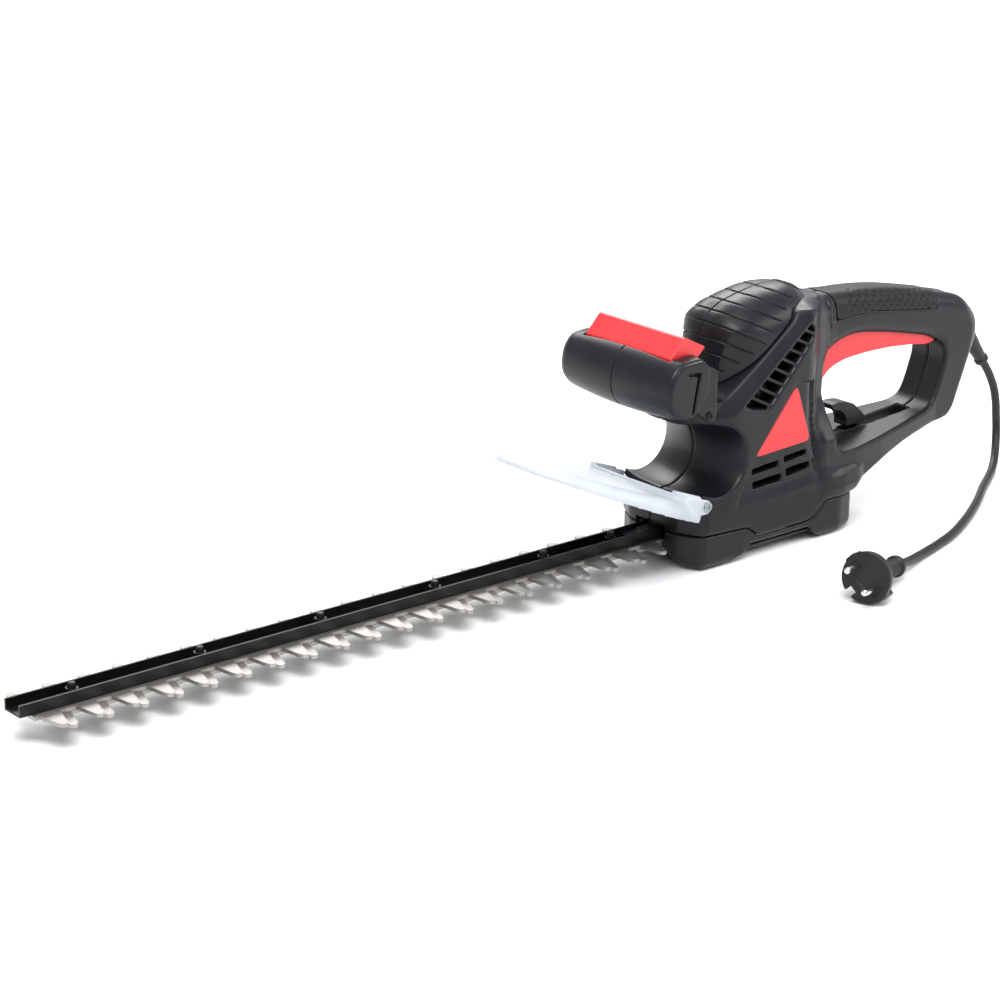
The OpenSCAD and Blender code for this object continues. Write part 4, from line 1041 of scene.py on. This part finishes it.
# %% [markdown]
# ## Finishes
# Moulded plastic, rubber, painted steel and ground steel differ in three things: colour,
# how rough they are, and the grain that breaks up their highlights. One helper mixes a
# broad noise for uneven colour and wear with a fine noise for the grain, all in metres.


# %% Finish helper
def noise(nodes, links, place, scale, detail=3.0):
    made = nodes.new("ShaderNodeTexNoise")
    made.inputs["Scale"].default_value = scale
    made.inputs["Detail"].default_value = detail
    links.new(place.outputs["Vector"], made.inputs["Vector"])
    return made


def finish(name, dark, light, rough, metal=0.0, grain=1500.0, bump=0.15, broad=45.0,
           stretch=(1, 1, 1), shine=0.5, depth=0.0002):
    material = bpy.data.materials.new(name)
    material.use_nodes = True
    nodes, links = material.node_tree.nodes, material.node_tree.links
    surface = nodes["Principled BSDF"]
    surface.inputs["Metallic"].default_value = metal
    surface.inputs["Specular IOR Level"].default_value = shine
    where = nodes.new("ShaderNodeTexCoord")
    place = nodes.new("ShaderNodeMapping")
    place.inputs["Scale"].default_value = stretch
    links.new(where.outputs["Object"], place.inputs["Vector"])
    uneven = noise(nodes, links, place, broad, 4.0)
    fine = noise(nodes, links, place, grain, 2.0)
    shade = nodes.new("ShaderNodeValToRGB")
    shade.color_ramp.elements[0].position = 0.32
    shade.color_ramp.elements[0].color = (*dark, 1)
    shade.color_ramp.elements[1].position = 0.68
    shade.color_ramp.elements[1].color = (*light, 1)
    links.new(uneven.outputs["Fac"], shade.inputs["Fac"])
    links.new(shade.outputs["Color"], surface.inputs["Base Color"])
    polish = nodes.new("ShaderNodeMapRange")
    polish.inputs["To Min"].default_value = rough[0]
    polish.inputs["To Max"].default_value = rough[1]
    polish.inputs["From Min"].default_value = 0.3
    polish.inputs["From Max"].default_value = 0.7
    blend = nodes.new("ShaderNodeMath")
    blend.operation = "MULTIPLY_ADD"
    blend.inputs[1].default_value = 0.5
    halved = nodes.new("ShaderNodeMath")
    halved.operation = "MULTIPLY"
    halved.inputs[1].default_value = 0.5
    links.new(fine.outputs["Fac"], halved.inputs[0])
    links.new(uneven.outputs["Fac"], blend.inputs[0])
    links.new(halved.outputs["Value"], blend.inputs[2])
    links.new(blend.outputs["Value"], polish.inputs["Value"])
    links.new(polish.outputs["Result"], surface.inputs["Roughness"])
    relief_node = nodes.new("ShaderNodeBump")
    relief_node.inputs["Strength"].default_value = bump
    relief_node.inputs["Distance"].default_value = depth
    links.new(fine.outputs["Fac"], relief_node.inputs["Height"])
    links.new(relief_node.outputs["Normal"], surface.inputs["Normal"])
    return material


# %% [markdown]
# ## The sixteen finishes
# Each row gives the two ends of the colour, the two ends of the roughness, and what sets the
# finish apart: metal or not, the depth and fineness of the grain, a low shine for the black
# plastics, and a stretched grain for ground blades, stacked sheet and wound wire.

# %% Finishes
finish_table = {
    "housing_plastic": (
        (0.0055, 0.006, 0.0075), (0.0085, 0.009, 0.011), (0.3, 0.4),
        dict(bump=0.2, grain=1700, shine=0.27),
    ),
    "soft_rubber": (
        (0.005, 0.005, 0.0058), (0.008, 0.008, 0.009), (0.42, 0.56),
        dict(bump=0.35, grain=1300, shine=0.25),
    ),
    "red_plastic": (
        (0.64, 0.020, 0.024), (0.70, 0.028, 0.032), (0.34, 0.44),
        dict(bump=0.1, grain=1400),
    ),
    "clear_guard": (
        (0.60, 0.64, 0.68), (0.66, 0.70, 0.74), (0.3, 0.4),
        dict(bump=0.03, grain=900),
    ),
    "black_paint": (
        (0.003, 0.003, 0.004), (0.005, 0.005, 0.006), (0.3, 0.38),
        dict(bump=0.04, grain=700, shine=0.24),
    ),
    "blade_steel": (
        (0.30, 0.285, 0.265), (0.40, 0.385, 0.36), (0.46, 0.58),
        dict(metal=1.0, bump=0.2, grain=1200, stretch=(0.06, 1, 1)),
    ),
    "zinc_steel": (
        (0.30, 0.33, 0.34), (0.42, 0.46, 0.47), (0.26, 0.4),
        dict(metal=1.0, bump=0.1),
    ),
    "nickel": (
        (0.62, 0.60, 0.56), (0.74, 0.72, 0.68), (0.12, 0.25),
        dict(metal=1.0, bump=0.04),
    ),
    "cast_alloy": (
        (0.34, 0.35, 0.36), (0.46, 0.47, 0.48), (0.42, 0.6),
        dict(metal=1.0, bump=0.4, grain=800),
    ),
    "gear_steel": (
        (0.22, 0.21, 0.20), (0.33, 0.32, 0.31), (0.3, 0.5),
        dict(metal=1.0, bump=0.2),
    ),
    "lamination": (
        (0.15, 0.16, 0.18), (0.25, 0.26, 0.28), (0.4, 0.55),
        dict(metal=1.0, grain=900, bump=0.5, stretch=(0.03, 0.03, 1)),
    ),
    "copper": (
        (0.55, 0.20, 0.08), (0.72, 0.30, 0.13), (0.25, 0.4),
        dict(metal=1.0, grain=1100, bump=0.5, stretch=(0.2, 0.2, 1)),
    ),
    "carbon": (
        (0.02, 0.02, 0.022), (0.035, 0.035, 0.037), (0.5, 0.7),
        dict(bump=0.3),
    ),
    "film_yellow": (
        (0.55, 0.38, 0.05), (0.65, 0.46, 0.08), (0.3, 0.42),
        dict(bump=0.1),
    ),
    "ivory_plastic": (
        (0.72, 0.68, 0.55), (0.80, 0.76, 0.64), (0.35, 0.5),
        dict(bump=0.1),
    ),
    "cord_pvc": (
        (0.008, 0.008, 0.009), (0.013, 0.013, 0.015), (0.36, 0.5),
        dict(bump=0.15, grain=1000, shine=0.3),
    ),
}
finishes = {
    name: finish(name, dark, light, rough, **more)
    for name, (dark, light, rough, more) in finish_table.items()
}
glass = finishes["clear_guard"].node_tree.nodes["Principled BSDF"]
glass.inputs["Transmission Weight"].default_value = 0.3
glass.inputs["IOR"].default_value = 1.46
for made_piece in bpy.data.objects:
    if made_piece.get("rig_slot") in finishes:
        made_piece.data.materials.clear()
        made_piece.data.materials.append(finishes[made_piece["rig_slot"]])
print("finishes", len(finishes))

# %% [markdown]
# ## Metal parts and the drive
# The bar, the blades, the screws and everything inside the shell already have the right
# shape in the frame. They keep it, and get a fine bevel, smooth shading and their finish.

# %% Finishes for the frame's own parts
kept = {
    "black_paint": ["guide_bar"],
    "blade_steel": ["upper_blade", "lower_blade"],
    "zinc_steel": ["housing_screws", "cover_screws", "lever_pin", "lever_spring",
                   "trigger_pin", "trigger_spring", "bar_bracket", "bar_nuts",
                   "bar_screws", "gearbox_base", "gear_spacers", "brush_springs"],
    "gear_steel": ["gear_axle", "drive_gear", "pinion", "motor_shaft", "lower_bearing",
                   "upper_bearing"],
    "cast_alloy": ["gear_plate"],
    "lamination": ["rotor_stack", "stator_stack"],
    "copper": ["rotor_windings", "commutator", "field_coils"],
    "carbon": ["carbon_brushes"],
    "film_yellow": ["capacitor"],
    "ivory_plastic": ["terminal_block"],
    "housing_plastic": ["cooling_fan", "front_switch", "rear_switch", "cable_clamp",
                        "brush_bracket"],
    "cord_pvc": ["inner_lead"],
}
for finish_name, names in kept.items():
    for name in names:
        part = frame["nodes"][name]
        part.data.materials.clear()
        part.data.materials.append(finishes[finish_name])
        for face in part.data.polygons:
            face.use_smooth = True
        part.data.set_sharp_from_angle(angle=math.radians(32))
        if "spring" not in name:
            soften(part, 0.25)
print("kept parts", sum(len(names) for names in kept.values()))

# %% [markdown]
# ## Floor and light
# A wide pale floor, a bright even surround and four soft lights: a broad one above and in
# front, a strip behind for the rims, a weak one from the handle side so that the black shell
# keeps its form, and a very soft overhead that keeps the far floor as white as the near one.


# %% Floor and lights
def area_light(name, place_at, aim, size, power):
    data = bpy.data.lights.new(name, "AREA")
    data.shape = "RECTANGLE"
    data.size, data.size_y = size
    data.energy = power
    light = bpy.data.objects.new(name, data)
    light.location = place_at
    light.rotation_euler = (Vector(aim) - Vector(place_at)).to_track_quat("-Z", "Y").to_euler()
    bpy.context.collection.objects.link(light)
    return light


floor_mesh = bpy.data.meshes.new("floor")
floor_corners = [(-9, -9), (9, -9), (9, 9), (-9, 9)]
floor_mesh.from_pydata([(a, b, -0.0002) for a, b in floor_corners], [], [(0, 1, 2, 3)])
floor = bpy.data.objects.new("floor", floor_mesh)
bpy.context.collection.objects.link(floor)
card = finish(
    "floor_card", (0.86, 0.86, 0.86), (0.9, 0.9, 0.9), (0.7, 0.85), bump=0.05, grain=300, broad=3
)
floor.data.materials.append(card)
area_light("key", (-1.1, -0.9, 1.8), (0, 0, 0.08), (1.2, 0.9), 34)
area_light("rim", (0.7, 1.2, 1.2), (0, 0, 0.1), (1.6, 0.6), 26)
area_light("side", (1.3, -1.1, 1.0), (0.1, 0, 0.1), (0.9, 0.6), 12)
sky_data = bpy.data.lights.new("overhead", "SUN")
sky_data.energy = 1.2
sky_data.angle = math.radians(60)
sky = bpy.data.objects.new("overhead", sky_data)
sky.rotation_euler = (math.radians(12), math.radians(-10), 0)
bpy.context.collection.objects.link(sky)
world = bpy.data.worlds.new("studio")
world.use_nodes = True
world.node_tree.nodes["Background"].inputs["Color"].default_value = (0.93, 0.95, 1.0, 1)
world.node_tree.nodes["Background"].inputs["Strength"].default_value = 0.72
bpy.context.scene.world = world
bpy.context.scene.view_settings.view_transform = "Standard"
print("lights", 4)
